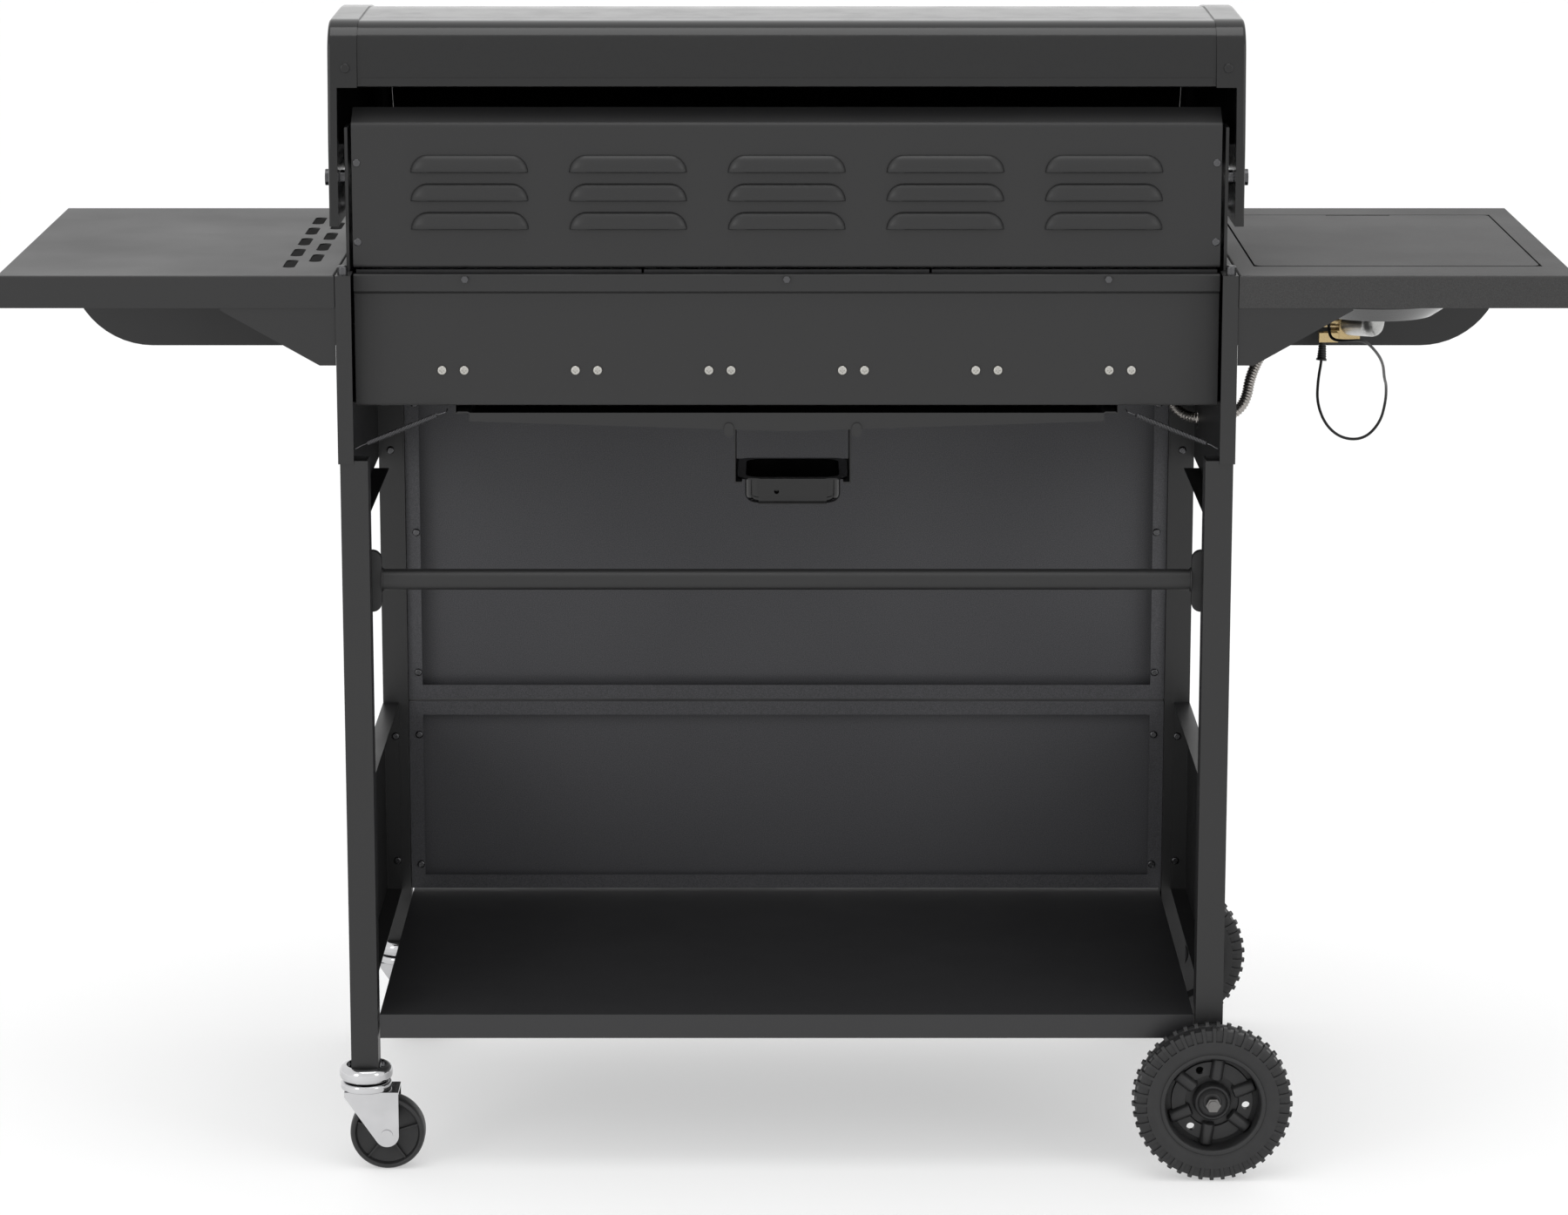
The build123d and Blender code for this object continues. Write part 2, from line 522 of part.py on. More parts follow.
def make_cooking_parts():
    tamers = []
    for x in BURNER_XS:
        foot = TAMER_LEDGE + 0.2
        outer = front_plate([(x - 46, foot), (x, foot + 29.8), (x + 46, foot)], 35, 450)
        inner = front_plate([(x - 44, foot - 0.2), (x, foot + 28.2), (x + 44, foot - 0.2)], 34, 451)
        tamers.append(outer - inner)
    save("flame_tamers", *tamers)
    low, high = GRATE_LEDGE + 0.2, GRATE_LEDGE + 14
    grates = []
    for x0 in (-418.0, -138.5):
        frame = block((x0, x0 + 277), (34, 450), (low, high))
        for i in range(13):
            left = x0 + 8 + i * 20.2
            frame -= block((left, left + 14.2), (44, 238), (low - 1, high + 1))
            frame -= block((left, left + 14.2), (246, 440), (low - 1, high + 1))
        grates.append(frame)
    griddle = block((141.0, 418.0), (34, 450), (low, high))
    griddle -= block((146.0, 413.0), (39, 445), (low + 6, high + 1))
    griddle -= block((260.0, 300.0), (42, 54), (low - 1, high + 1))
    save("cooking_grates", grates[0], grates[1], griddle)
    rack_z, wire = 1008.0, 2.5
    rack = rod_x(-422.5, 422.5, 70, rack_z, wire)
    for i in range(1, 7):
        rack += rod_x(-422.5, 422.5, 70 + 20 * i, rack_z, wire)
    for x in (-421, -140, 140, 421):
        rack += rod_y(x, 66, 194, rack_z - 3.2, wire)
    for x in (-421, 421):
        for depth in (80, 180):
            rack += rod_z(x, depth, 930, rack_z - 3.5, 2.2)
            foot = (x - 1, x + 3) if x > 0 else (x - 3, x + 1)
            rack += block(foot, (depth - 5, depth + 5), (928, 941))
    save("warming_rack", rack)


# ---------------------------------------------------------------- lid
def lid_normal(depth):
    """The plane on the lid's outer face at a depth on its front, with its normal outward."""
    line = FilletPolyline(*[(y_at(d), z) for d, z in LID_PATH], radius=LID_RADII)
    low, high = 0.5, 0.95
    for _ in range(40):
        middle = (low + high) / 2
        if y_at(depth) < (line @ middle).X:
            low = middle
        else:
            high = middle
    point, tangent = line @ low, line % low
    normal = Vector(0, tangent.Y, -tangent.X)
    if normal.Y > 0:
        normal = -normal
    return Plane(origin=(0, point.X, point.Y), x_dir=(1, 0, 0), z_dir=normal)


def make_lid():
    section = side_strip(LID_PATH, LID_RADII, SHEET)
    skin = along_x(section, -LID_SKIN_HALF, LID_SKIN_HALF)
    everything = (-500, 500)
    rear = skin & block(everything, (0, LID_SEAM), (900, 1200))
    rear += block((-LID_SKIN_HALF + 3, LID_SKIN_HALF - 3), (30.3, 31.4), (LID_LIP_Z + 2, LID_LIP_Z + 9))
    front = skin & block(everything, (LID_SEAM + 0.6, 520), (900, 1200))
    gauge = lid_normal(GAUGE_DEPTH)
    front -= gauge * Cylinder(5.5, 20)
    for x in HANDLE_POSTS:
        front -= lid_normal_at(x) * Cylinder(3.3, 20)
    save("lid_rear_skin", rear)
    save("lid_front_skin", front)
    plate = along_x(side_face(CAP_PATH, CAP_RADII), CAP_INNER, CAP_OUTER)
    outer_edges = plate.edges().filter_by(lambda e: e.center().X > CAP_OUTER - 0.1)
    outer_edges = outer_edges.filter_by(lambda e: e.center().Z > LID_BOTTOM + 1)
    plate = fillet(outer_edges, 3)
    rim = along_x(side_strip(CAP_PATH, CAP_RADII, 3), CAP_RIM_INNER, CAP_INNER)
    rim -= block((400, 450), (0, 45), (900, LID_LIP_Z))
    screw = rod_y(424.8, 25.2, 29.5, 1103.7, 4.6)
    screw = fillet(screw.edges().sort_by(Axis.Y)[-1], 1.4)
    cap = plate + rim + screw
    cap -= rod_x(420, 450, HINGE_DEPTH, HINGE_Z, HINGE_PIN_R + FIT)
    save("lid_end_caps", cap, mirrored(cap))
    make_handle()
    make_gauge(gauge)
    pin = rod_x(424, 447, HINGE_DEPTH, HINGE_Z, HINGE_PIN_R)
    pin += rod_x(CAP_OUTER + 0.4, 447, HINGE_DEPTH, HINGE_Z, 8)
    pin += rod_x(427, 432.6, HINGE_DEPTH, HINGE_Z, 7)
    save("lid_hinge_pins", pin, mirrored(pin))


def lid_normal_at(x):
    return Pos(x, 0, 0) * lid_normal(HANDLE_SURFACE_DEPTH)


def make_handle():
    bar = rod_x(-352, 352, HANDLE_DEPTH, HANDLE_Z, HANDLE_R)
    bar -= rod_x(-349, 349, HANDLE_DEPTH, HANDLE_Z, HANDLE_R - SHEET)
    pieces = [bar]
    for x in HANDLE_POSTS:
        plane = lid_normal_at(x)
        base = plane * Pos(0, 0, 3.8) * Box(28, 46, 6)
        base = fillet(base.edges().filter_by(lambda e: e.length < 7), 2)
        root = plane.origin
        arm = rod_between((x, REAR_Y - root.Y + 4, root.Z + 2), (x, HANDLE_DEPTH, HANDLE_Z), 9)
        mount = base + arm - rod_x(x - 30, x + 30, HANDLE_DEPTH, HANDLE_Z, HANDLE_R)
        pieces.append(max(mount.solids(), key=lambda s: s.volume))
    save("lid_handle", *pieces)


def make_gauge(plane):
    case = Pos(0, 0, 1.8) * Cylinder(GAUGE_R, 3)
    case += Pos(0, 0, 6) * (Cylinder(GAUGE_R, 9) - Cylinder(GAUGE_R - 2.5, 10))
    case += Pos(0, 0, -9) * Cylinder(5, 20)
    case += Pos(0, 0, 4) * Cylinder(1.2, 4)
    save("thermometer", plane * case)
    needle = Pos(0, 7, 4.6) * Box(1.6, 26, 0.8) + Pos(0, 0, 4.6) * Cylinder(3.5, 0.8)
    needle -= Pos(0, 0, 4.6) * Cylinder(1.2 + FIT, 3)
    save("thermometer_needle", plane * needle)


# ---------------------------------------------------------------- grease tray, cup and springs
def make_grease_parts():
    top, side, middle = 765.4, 757.0, 747.0
    ends = (34, 432)
    outline = [(-322, top), (-TRAY_HALF, top), (-TRAY_HALF, side), (0, middle), (TRAY_HALF, side),
               (TRAY_HALF, top), (322, top)]
    line = FilletPolyline(*outline, radius=BEND)
    tray = on_depth(make_face(offset(line, amount=SHEET, side=Side.LEFT)), 0, ends[0], 0, ends[1])
    wall_face = make_face(Polyline(*outline[1:6], close=True))
    for depth in (ends[0], ends[1] - SHEET):
        tray += on_depth(wall_face, 0, depth, 0, depth + SHEET)
    tray -= rod_z(CUP_X, CUP_DEPTH, 730, 755, 8)
    hanger = block((CUP_X - 57, CUP_X + 57), (120, 240), (745.7, 746.9))
    hanger -= rod_z(CUP_X, CUP_DEPTH, 730, 755, 12)
    for sign in (-1, 1):
        outer_x = sorted((CUP_X + sign * 57, CUP_X + sign * 58.5))
        lip_x = sorted((CUP_X + sign * 50.5, CUP_X + sign * 58.5))
        hanger += block(outer_x, (120, 240), (678, 746.9))
        hanger += block(lip_x, (120, 240), (678, 679.2))
        tab = on_depth(RectangleRounded(9, 14, 4.4), CUP_X + sign * 62.5, 33.5 - SHEET, 748.5, 33.9)
        tray += tab
    save("grease_tray", tray, hanger)
    rim_z, floor_z = 681.0, 653.0
    cup = on_plan(RectangleRounded(110, 106, 14), CUP_X, CUP_DEPTH, rim_z - 1.5, rim_z)
    well = on_plan(RectangleRounded(96, 96, 16), CUP_X, CUP_DEPTH, floor_z, rim_z)
    well = fillet(well.edges().group_by(Axis.Z)[0], 9)
    hollow = on_plan(RectangleRounded(93.6, 93.6, 15), CUP_X, CUP_DEPTH, floor_z + SHEET, rim_z + 1)
    hollow = fillet(hollow.edges().group_by(Axis.Z)[0], 8)
    cup = cup + well - hollow
    pull_x = (CUP_X - 34, CUP_X + 34)
    pull = block(pull_x, (126, 127.2), (floor_z + 3, rim_z))
    pull += block(pull_x, (120, 127.2), (floor_z + 3, floor_z + 4.2))
    save("grease_cup", cup + (pull - rod_y(CUP_X + 16, 120, 130, 668, 2.5)))


def on_plan(sketch, x, depth, z0, z1):
    return Pos(x, y_at(depth), z0) * extrude(sketch, amount=z1 - z0)


def make_springs():
    """A close-wound spring as its outer shape, with a hook at each end."""
    start, end = Vector(336, y_at(14), 768.5), Vector(412, y_at(5), 739)
    along = (end - start).normalized()
    coils = (end - start).length - 10
    body = Plane(origin=start + along * 5, z_dir=along) * extrude(Circle(2.6), amount=coils)
    hooks = [Plane(origin=start + along * 1, x_dir=along, z_dir=(0, 1, 0)) * Torus(3.6, 0.7),
             Plane(origin=end - along * 1, x_dir=along, z_dir=(0, 1, 0)) * Torus(3.6, 0.7)]
    tie = rod_between((331, 14, 770.2), (331, 31.0, 770.2), 0.9)
    post_hook = rod_between((414.5, 5, 737.5), (419.5, 2, 735.5), 0.9)
    spring = body + hooks[0] + hooks[1] + tie + post_hook
    save("tension_springs", spring, mirrored(spring))


# ---------------------------------------------------------------- wheels
def wheel(outward):
    """A wheel with its axis along depth; outward is +1 when its face looks to the rear."""
    half = WHEEL_WIDTH / 2
    tyre = [(50, -half + 3), (60, -half), (72, -half), (WHEEL_R, -half + 6), (WHEEL_R, half - 6), (72, half),
            (60, half), (50, half - 3)]
    rim = [(45.5, -half + 3), (50, -half + 3), (50, half - 3), (48, half - 1), (45.5, half - 3)]
    disc = [(14, -4), (46.5, -4), (46.5, 0), (14, 0)]
    bore = AXLE_R + FIT
    hub = [(bore, -half), (12, -half), (17, -6), (17, half - 8), (12, half - 6), (bore, half - 6)]
    ring = [(31, 0), (31, 4), (34, 4), (34, 0)]
    body = None
    for outline in (tyre, rim, disc, hub):
        turned = revolve(make_face(Polyline(*outline, close=True)), Axis.Y)
        body = turned if body is None else body + turned
    for i in range(6):
        spoke = Rot(0, 60 * i - SPOKE_TURN, 0) * Pos(29, 0, 0) * Rot(0, 90, 0) * Cylinder(7, 29)
        body += spoke & Pos(0, half, 0) * Box(200, WHEEL_WIDTH, 200)
    for i in range(3):
        angle = math.radians(HOLE_TURN + 120 * i)
        body -= Pos(34 * math.cos(angle), 0, 34 * math.sin(angle)) * Rot(90, 0, 0) * Cylinder(4, 30)
    body -= Rot(90, 0, 0) * Cylinder(AXLE_R + FIT, 60)
    return body if outward > 0 else Rot(0, 0, 180) * body


def make_wheels():
    middle = WHEEL_GAP + WHEEL_WIDTH / 2
    save("wheel_rear", Pos(WHEEL_X, y_at(-middle), WHEEL_R) * wheel(1))
    save("wheel_front", Pos(WHEEL_X, y_at(FRAME_DEPTH + middle), WHEEL_R) * wheel(-1))
    hub_face = WHEEL_GAP + WHEEL_WIDTH - 6
    axle = rod_y(WHEEL_X, -hub_face - 6, FRAME_DEPTH + hub_face + 6, WHEEL_R, AXLE_R)
    nut = hex_y(WHEEL_X, -hub_face - 5, -hub_face - 0.3, WHEEL_R, 7.5)
    far_nut = hex_y(WHEEL_X, FRAME_DEPTH + hub_face + 0.3, FRAME_DEPTH + hub_face + 5, WHEEL_R, 7.5)
    spacer = rod_y(WHEEL_X, -WHEEL_GAP + 0.3, 0, WHEEL_R, 9)
    far_spacer = rod_y(WHEEL_X, FRAME_DEPTH, FRAME_DEPTH + WHEEL_GAP - 0.3, WHEEL_R, 9)
    save("wheel_axle", axle + nut + far_nut + spacer + far_spacer)


def make_caster(name, depth):
    """The swivelling fork under its bearing race, the axle rivet and the roller."""
    x, y = CASTER_X, y_at(depth)
    axle_x = x - CASTER_TRAIL
    plate_z = (79.5, 82.4)
    race = fillet(rod_z(x, depth, 82.3, 90.5, 25.5).edges().filter_by(GeomType.CIRCLE), 2.5)
    shoulder = (Pos((axle_x - 12 + x + 21) / 2, 80) * Rectangle(x + 33 - axle_x, 4.8)).edges()
    cheek_outline = make_hull((Pos(axle_x, CASTER_R) * Circle(12)).edges() + shoulder)
    fork = block((axle_x - 12, x + 21), (depth - 17.4, depth + 17.4), plate_z) + race
    for inner, outer in ((15.0, 17.4), (-17.4, -15.0)):
        fork += on_depth(cheek_outline, 0, depth + inner, 0, depth + outer)
    fork -= rod_z(x, depth, 70, 95, AXLE_R + FIT)
    rivet_bore = rod_y(axle_x, depth - 20, depth + 20, CASTER_R, 4)
    rivet = rod_y(axle_x, depth - 17.4, depth + 17.4, CASTER_R, 4)
    for outward in (-18.4, 18.4):
        rivet += rod_y(axle_x, depth + outward - 1, depth + outward + 1, CASTER_R, 6)
    save(f"caster_fork_{name}", fork - rivet_bore, rivet)
    half = 12.0
    profile = [(4 + FIT, -13), (11, -13), (11, -7), (33, -7), (33, -half), (36, -half), (CASTER_R, -half + 2)]
    outline = profile + [(r, -v) for r, v in reversed(profile)]
    roller = revolve(make_face(Polyline(*outline, close=True)), Axis.Y)
    for i in range(4):
        roller += Rot(0, 90 * i + 45, 0) * Pos(22, 0, 0) * Box(23, 2 * half - 3, 2)
    save(f"caster_wheel_{name}", Pos(axle_x, y, CASTER_R) * roller)


def make_caster_sockets():
    """A rounded collar round each leg's foot, with the square plug and the swivel pin."""
    sockets = []
    for depth in (LEG / 2, FRAME_DEPTH - LEG / 2):
        collar = rod_z(CASTER_X, depth, 91.5, 107, 26.5)
        collar = fillet(collar.edges().filter_by(GeomType.CIRCLE), 6)
        collar -= rod_z(CASTER_X, depth, 97, 113, 19.6)
        plug = 11.5
        collar += block((CASTER_X - plug, CASTER_X + plug), (depth - plug, depth + plug), (96, 130))
        collar += rod_z(CASTER_X, depth, 78.5, 96, AXLE_R)
        collar += rod_z(CASTER_X, depth, 76.5, 79.0, 7)
        sockets.append(collar)
    save("caster_sockets", *sockets)


# ---------------------------------------------------------------- fasteners, hose and wire
def make_fasteners():
    zinc = [bumped_screw(x, FIREBOX_REAR, BURNER_SCREW_Z, 4.5) for x in BURNER_SCREW_XS]
    save("zinc_fasteners", *zinc)
    black = [hex_y(x, 22, 25, 899, 3.6) for x in (-312, 0, 312)]
    for sign in (-1, 1):
        for z in (935, 1012):
            black.append(head(sign * 415.5, 28, z))
        black.append(head(sign * 421.5, FRONT_LEG_REAR - SHEET, 651))
        for z in (192, 337, 406, 560, 700):
            black.append(head(sign * 396, FRAME_DEPTH - 21, z))
        for z in (198, 337):
            black.append(head(sign * 421, FRONT_LEG_REAR - 0.3 - SHEET, z))
        cap = rod_z(sign * 429, 8, SHELF_TOP, SHELF_TOP + 9, 5)
        black.append(fillet(cap.edges().sort_by(Axis.Z)[-1], 2))
    save("black_fasteners", *black)


def head(x, depth, z, radius=4.0):
    """A plain pan head lying on a surface that faces the rear."""
    shape = rod_y(x, depth - 2.2, depth, z, radius)
    return fillet(shape.edges().sort_by(Axis.Y)[-1], 1.5)


def route_tube(name, route, diameter):
    """A tube along straight runs joined by arcs as large as the runs allow."""
    points = [Vector(x, y_at(depth), z) for x, depth, z in route]
    runs = [b - a for a, b in zip(points, points[1:])]
    radii = []
    for before, after in zip(runs, runs[1:]):
        half_turn = math.radians(before.get_angle(after)) / 2
        radii.append(0.45 * min(before.length, after.length) / math.tan(half_turn))
    print(name, "radii", [round(r, 1) for r in radii])
    path = FilletPolyline(*points, radius=radii)
    section = Plane(path @ 0, z_dir=path % 0) * Circle(diameter / 2)
    tube = sweep(section, path)
    print(name, "length", round(path.length, 1), "volume ratio", tube.volume / section.area / path.length)
    save(name, tube)


os.makedirs("parts", exist_ok=True)
make_cart()
make_right_shelf()
make_left_shelf()
make_side_burner()
make_firebox()
make_rear_panels()
make_control_panel()
make_gas_system()
for number, burner_x in enumerate(BURNER_XS, start=1):
    knob_set(str(number), burner_x, BURNER_Z, VALVE_REAR, PANEL_FACE)
knob_set("side", SIDE_BURNER_X, SIDE_KNOB_Z, SIDE_VALVE_REAR, SHELF_DEPTH)
make_cooking_parts()
make_lid()
make_grease_parts()
make_springs()
make_wheels()
make_caster("rear", LEG / 2)
make_caster("front", FRAME_DEPTH - LEG / 2)
make_caster_sockets()
make_fasteners()
route_tube("side_burner_hose", HOSE_ROUTE, HOSE_D)
route_tube("ignition_wire", WIRE_ROUTE, WIRE_D)
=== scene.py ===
import bpy
import bmesh
import json
import math
from mathutils import Matrix, Vector


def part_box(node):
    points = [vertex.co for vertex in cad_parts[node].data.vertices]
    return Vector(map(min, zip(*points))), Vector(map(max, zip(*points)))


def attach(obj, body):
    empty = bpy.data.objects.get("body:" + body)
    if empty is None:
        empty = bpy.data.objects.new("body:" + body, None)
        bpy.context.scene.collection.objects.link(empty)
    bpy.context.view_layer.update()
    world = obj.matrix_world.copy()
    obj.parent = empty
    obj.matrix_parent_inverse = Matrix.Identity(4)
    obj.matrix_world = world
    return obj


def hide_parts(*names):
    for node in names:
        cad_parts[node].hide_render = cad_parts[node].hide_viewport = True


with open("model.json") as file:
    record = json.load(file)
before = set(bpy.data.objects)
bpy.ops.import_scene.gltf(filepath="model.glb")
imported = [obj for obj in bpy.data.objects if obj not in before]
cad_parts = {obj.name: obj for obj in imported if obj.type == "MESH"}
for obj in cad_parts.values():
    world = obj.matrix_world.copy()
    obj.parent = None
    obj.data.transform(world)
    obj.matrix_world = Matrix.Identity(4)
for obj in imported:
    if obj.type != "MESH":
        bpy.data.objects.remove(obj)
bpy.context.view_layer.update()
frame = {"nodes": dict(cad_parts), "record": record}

nodes = frame["nodes"]
MM = 0.001

# The rear legs' rear face, from which depths are measured forward.
REAR_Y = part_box("legs")[1].y


def at(x, depth, z):
    """A point from millimetres: x, depth forward of the rear legs, and height."""
    return Vector((x * MM, REAR_Y - depth * MM, z * MM))


# ---------------------------------------------------------------- camera
FOCAL_MM = 107.4
CAMERA_AT = (0.0026, 4.7024, 1.6076)
CAMERA_PITCH = 0.1968
camera_data = bpy.data.cameras.new("camera")
camera_data.sensor_width = 36.0
camera_data.lens = FOCAL_MM
camera_data.shift_y = -0.09
camera = bpy.data.objects.new("camera", camera_data)
camera.location = CAMERA_AT
camera.rotation_euler = (math.pi / 2 - CAMERA_PITCH, 0, math.pi)
bpy.context.scene.collection.objects.link(camera)
bpy.context.scene.camera = camera


# ---------------------------------------------------------------- mesh helpers
def mesh_object(name, vertices, faces, smooth=True):
    mesh = bpy.data.meshes.new(name)
    mesh.from_pydata([tuple(v) for v in vertices], [], faces)
    mesh.update()
    for polygon in mesh.polygons:
        polygon.use_smooth = smooth
    piece = bpy.data.objects.new(name, mesh)
    bpy.context.scene.collection.objects.link(piece)
    return piece


def bm_object(name, bm):
    """The object made from a bmesh, which is freed."""
    mesh = bpy.data.meshes.new(name)
    bm.to_mesh(mesh)
    bm.free()
    piece = bpy.data.objects.new(name, mesh)
    bpy.context.scene.collection.objects.link(piece)
    return piece


def grid_faces(rows, columns, close_columns=False):
    """Quads over a grid of points stored row by row."""
    faces = []
    for i in range(rows - 1):
        for j in range(columns if close_columns else columns - 1):
            a, b = i * columns + j, i * columns + (j + 1) % columns
            faces.append((a, b, b + columns, a + columns))
    return faces


def tube_mesh(name, points, radius_at, sides):
    """A closed tube round a list of points, whose radius is a function of the distance along it."""
    tangents = []
    for i, point in enumerate(points):
        before, after = points[max(i - 1, 0)], points[min(i + 1, len(points) - 1)]
        tangents.append((after - before).normalized())
    side = tangents[0].orthogonal().normalized()
    vertices, run = [], 0.0
    for i, point in enumerate(points):
        if i:
            run += (point - points[i - 1]).length
            side = (side - tangents[i] * side.dot(tangents[i])).normalized()
        across = tangents[i].cross(side)
        for j in range(sides):
            turn = 2 * math.pi * j / sides
            vertices.append(point + (side * math.cos(turn) + across * math.sin(turn)) * radius_at(run))
    faces = grid_faces(len(points), sides, close_columns=True)
    last = (len(points) - 1) * sides
    faces.append(tuple(reversed(range(sides))))
    faces.append(tuple(last + j for j in range(sides)))
    return mesh_object(name, vertices, faces)


def nurbs_curve(name, points):
    curve = bpy.data.curves.new(name, "CURVE")
    curve.dimensions = "3D"
    spline = curve.splines.new("NURBS")
    spline.points.add(len(points) - 1)
    for point, place in zip(spline.points, points):
        point.co = (*place, 1.0)
    spline.order_u = 3
    spline.use_endpoint_u = True
    curve.resolution_u = 24
    piece = bpy.data.objects.new(name, curve)
    bpy.context.scene.collection.objects.link(piece)
    return piece


def spline_points(points, step):
    """Evenly spaced points along the route's NURBS line."""
    line = nurbs_curve("route", points)
    bpy.context.view_layer.update()
    mesh = bpy.data.meshes.new_from_object(line.evaluated_get(bpy.context.evaluated_depsgraph_get()))
    raw = [v.co.copy() for v in mesh.vertices]
    bpy.data.objects.remove(line)
    bpy.data.meshes.remove(mesh)
    total = sum((b - a).length for a, b in zip(raw, raw[1:]))
    count = max(2, round(total / step))
    spaced, index, walked = [raw[0]], 0, 0.0
    for k in range(1, count):
        target = total * k / count
        while walked + (raw[index + 1] - raw[index]).length < target:
            walked += (raw[index + 1] - raw[index]).length
            index += 1
        span = raw[index + 1] - raw[index]
        spaced.append(raw[index] + span * ((target - walked) / span.length))
    spaced.append(raw[-1])
    return spaced, total


# ---------------------------------------------------------------- cords
HOSE_ROUTE = [(-570, 445, 788), (-545, 445, 788), (-514, 434, 772), (-491, 414, 738), (-485, 401, 706),
              (-464, 397, 691), (-436, 398, 690), (-413, 399, 697), (-401, 403, 718), (-400, 413, 742),
              (-400, 437, 756), (-400, 462, 752), (-400, 473, 762), (-400, 473, 776)]
WIRE_ROUTE = [(-568, 430, 768), (-568, 430, 750), (-563, 419, 730), (-561, 408, 706), (-570, 400, 683),
              (-588, 398, 669), (-611, 398, 669), (-627, 396, 687), (-631, 386, 712), (-628, 362, 734),
              (-621, 326, 747), (-614, 284, 770), (-602, 244, 789), (-586, 219, 806), (-568, 212, 806),
              (-553, 224, 805), (-551, 235, 815), (-551, 236, 830)]
HOSE_DIAMETER, HOSE_PITCH, HOSE_RIDGE = 0.012, 0.0031, 0.00045
WIRE_DIAMETER, WIRE_STEP = 0.003, 0.0025
BOOT_LENGTH, BOOT_TOP_RADIUS, BOOT_FLARE, BOOT_RING_PITCH = 0.02, 0.0036, 0.0014, 0.0026


def corrugation(run):
    return HOSE_DIAMETER / 2 - HOSE_RIDGE + HOSE_RIDGE * math.cos(2 * math.pi * run / HOSE_PITCH)


hose_points, hose_length = spline_points([at(*p) for p in HOSE_ROUTE], HOSE_PITCH / 6)
hose = tube_mesh("corrugated_gas_hose", hose_points, corrugation, 20)
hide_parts("side_burner_hose")
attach(hose, "root")

wire_points, wire_length = spline_points([at(*p) for p in WIRE_ROUTE], WIRE_STEP)
wire = tube_mesh("ignition_lead", wire_points, lambda run: WIRE_DIAMETER / 2, 14)


def boot_radius(run):
    """A tapered moulded boot with grip rings and a rolled rim at its lower end."""
    share = min(run / BOOT_LENGTH, 1.0)
    rings = 0.0003 * math.cos(2 * math.pi * run / BOOT_RING_PITCH) if share < 0.85 else 0.0
    rim = 0.0007 if share > 0.88 else 0.0
    return BOOT_TOP_RADIUS + BOOT_FLARE * share + rings + rim


coarse = [p for i, p in enumerate(wire_points) if i * WIRE_STEP <= BOOT_LENGTH]
fine = [a.lerp(b, k / 4) for a, b in zip(coarse, coarse[1:]) for k in range(4)] + coarse[-1:]
boot = tube_mesh("ignition_lead_boot", fine, boot_radius, 24)
for piece in (wire, boot):
    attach(piece, "root")
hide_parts("ignition_wire")


# ---------------------------------------------------------------- materials
class Look:
    """A Principled material with helpers that add detail to it."""

    def __init__(self, name, colour, roughness, metallic=0.0, specular=0.5, coat=0.0, coat_roughness=0.05):
        self.material = bpy.data.materials.new(name)
        self.material.use_nodes = True
        self.tree = self.material.node_tree
        self.shader = self.tree.nodes["Principled BSDF"]
        self.colour = (*colour, 1.0)
        self.set("Base Color", self.colour)
        self.set("Roughness", roughness)
        self.set("Metallic", metallic)
        self.set("Specular IOR Level", specular)
        self.set("Coat Weight", coat)
        self.set("Coat Roughness", coat_roughness)
        self.place = self.tree.nodes.new("ShaderNodeTexCoord").outputs["Object"]
        self.normal = None

    def set(self, socket, value):
        self.shader.inputs[socket].default_value = value

    def noise(self, scale, detail=3.0, stretch=(1, 1, 1), rough=0.5):
        mapping = self.tree.nodes.new("ShaderNodeMapping")
        mapping.inputs["Scale"].default_value = stretch
        self.tree.links.new(self.place, mapping.inputs["Vector"])
        noise = self.tree.nodes.new("ShaderNodeTexNoise")
        noise.inputs["Scale"].default_value = scale
        noise.inputs["Detail"].default_value = detail
        noise.inputs["Roughness"].default_value = rough
        self.tree.links.new(mapping.outputs["Vector"], noise.inputs["Vector"])
        return noise.outputs["Fac"]

    def remap(self, value, low, high, start=0.3, end=0.7):
        ramp = self.tree.nodes.new("ShaderNodeMapRange")
        ramp.inputs["From Min"].default_value = start
        ramp.inputs["From Max"].default_value = end
        ramp.inputs["To Min"].default_value = low
        ramp.inputs["To Max"].default_value = high
        self.tree.links.new(value, ramp.inputs["Value"])
        return ramp.outputs["Result"]

    def vary_colour(self, value, dark, light):
        mix = self.tree.nodes.new("ShaderNodeMix")
        mix.data_type = "RGBA"
        mix.inputs["A"].default_value = (*dark, 1.0)
        mix.inputs["B"].default_value = (*light, 1.0)
        self.tree.links.new(value, mix.inputs["Factor"])
        self.tree.links.new(mix.outputs["Result"], self.shader.inputs["Base Color"])

    def vary_roughness(self, value, low, high):
        self.tree.links.new(self.remap(value, low, high), self.shader.inputs["Roughness"])

    def bump(self, value, distance, strength=1.0):
        bump = self.tree.nodes.new("ShaderNodeBump")
        bump.inputs["Strength"].default_value = strength
        bump.inputs["Distance"].default_value = distance
        self.tree.links.new(value, bump.inputs["Height"])
        if self.normal is not None:
            self.tree.links.new(self.normal, bump.inputs["Normal"])
        self.normal = bump.outputs["Normal"]
        self.tree.links.new(self.normal, self.shader.inputs["Normal"])


def scaled(colour, factor):
    return tuple(c * factor for c in colour)


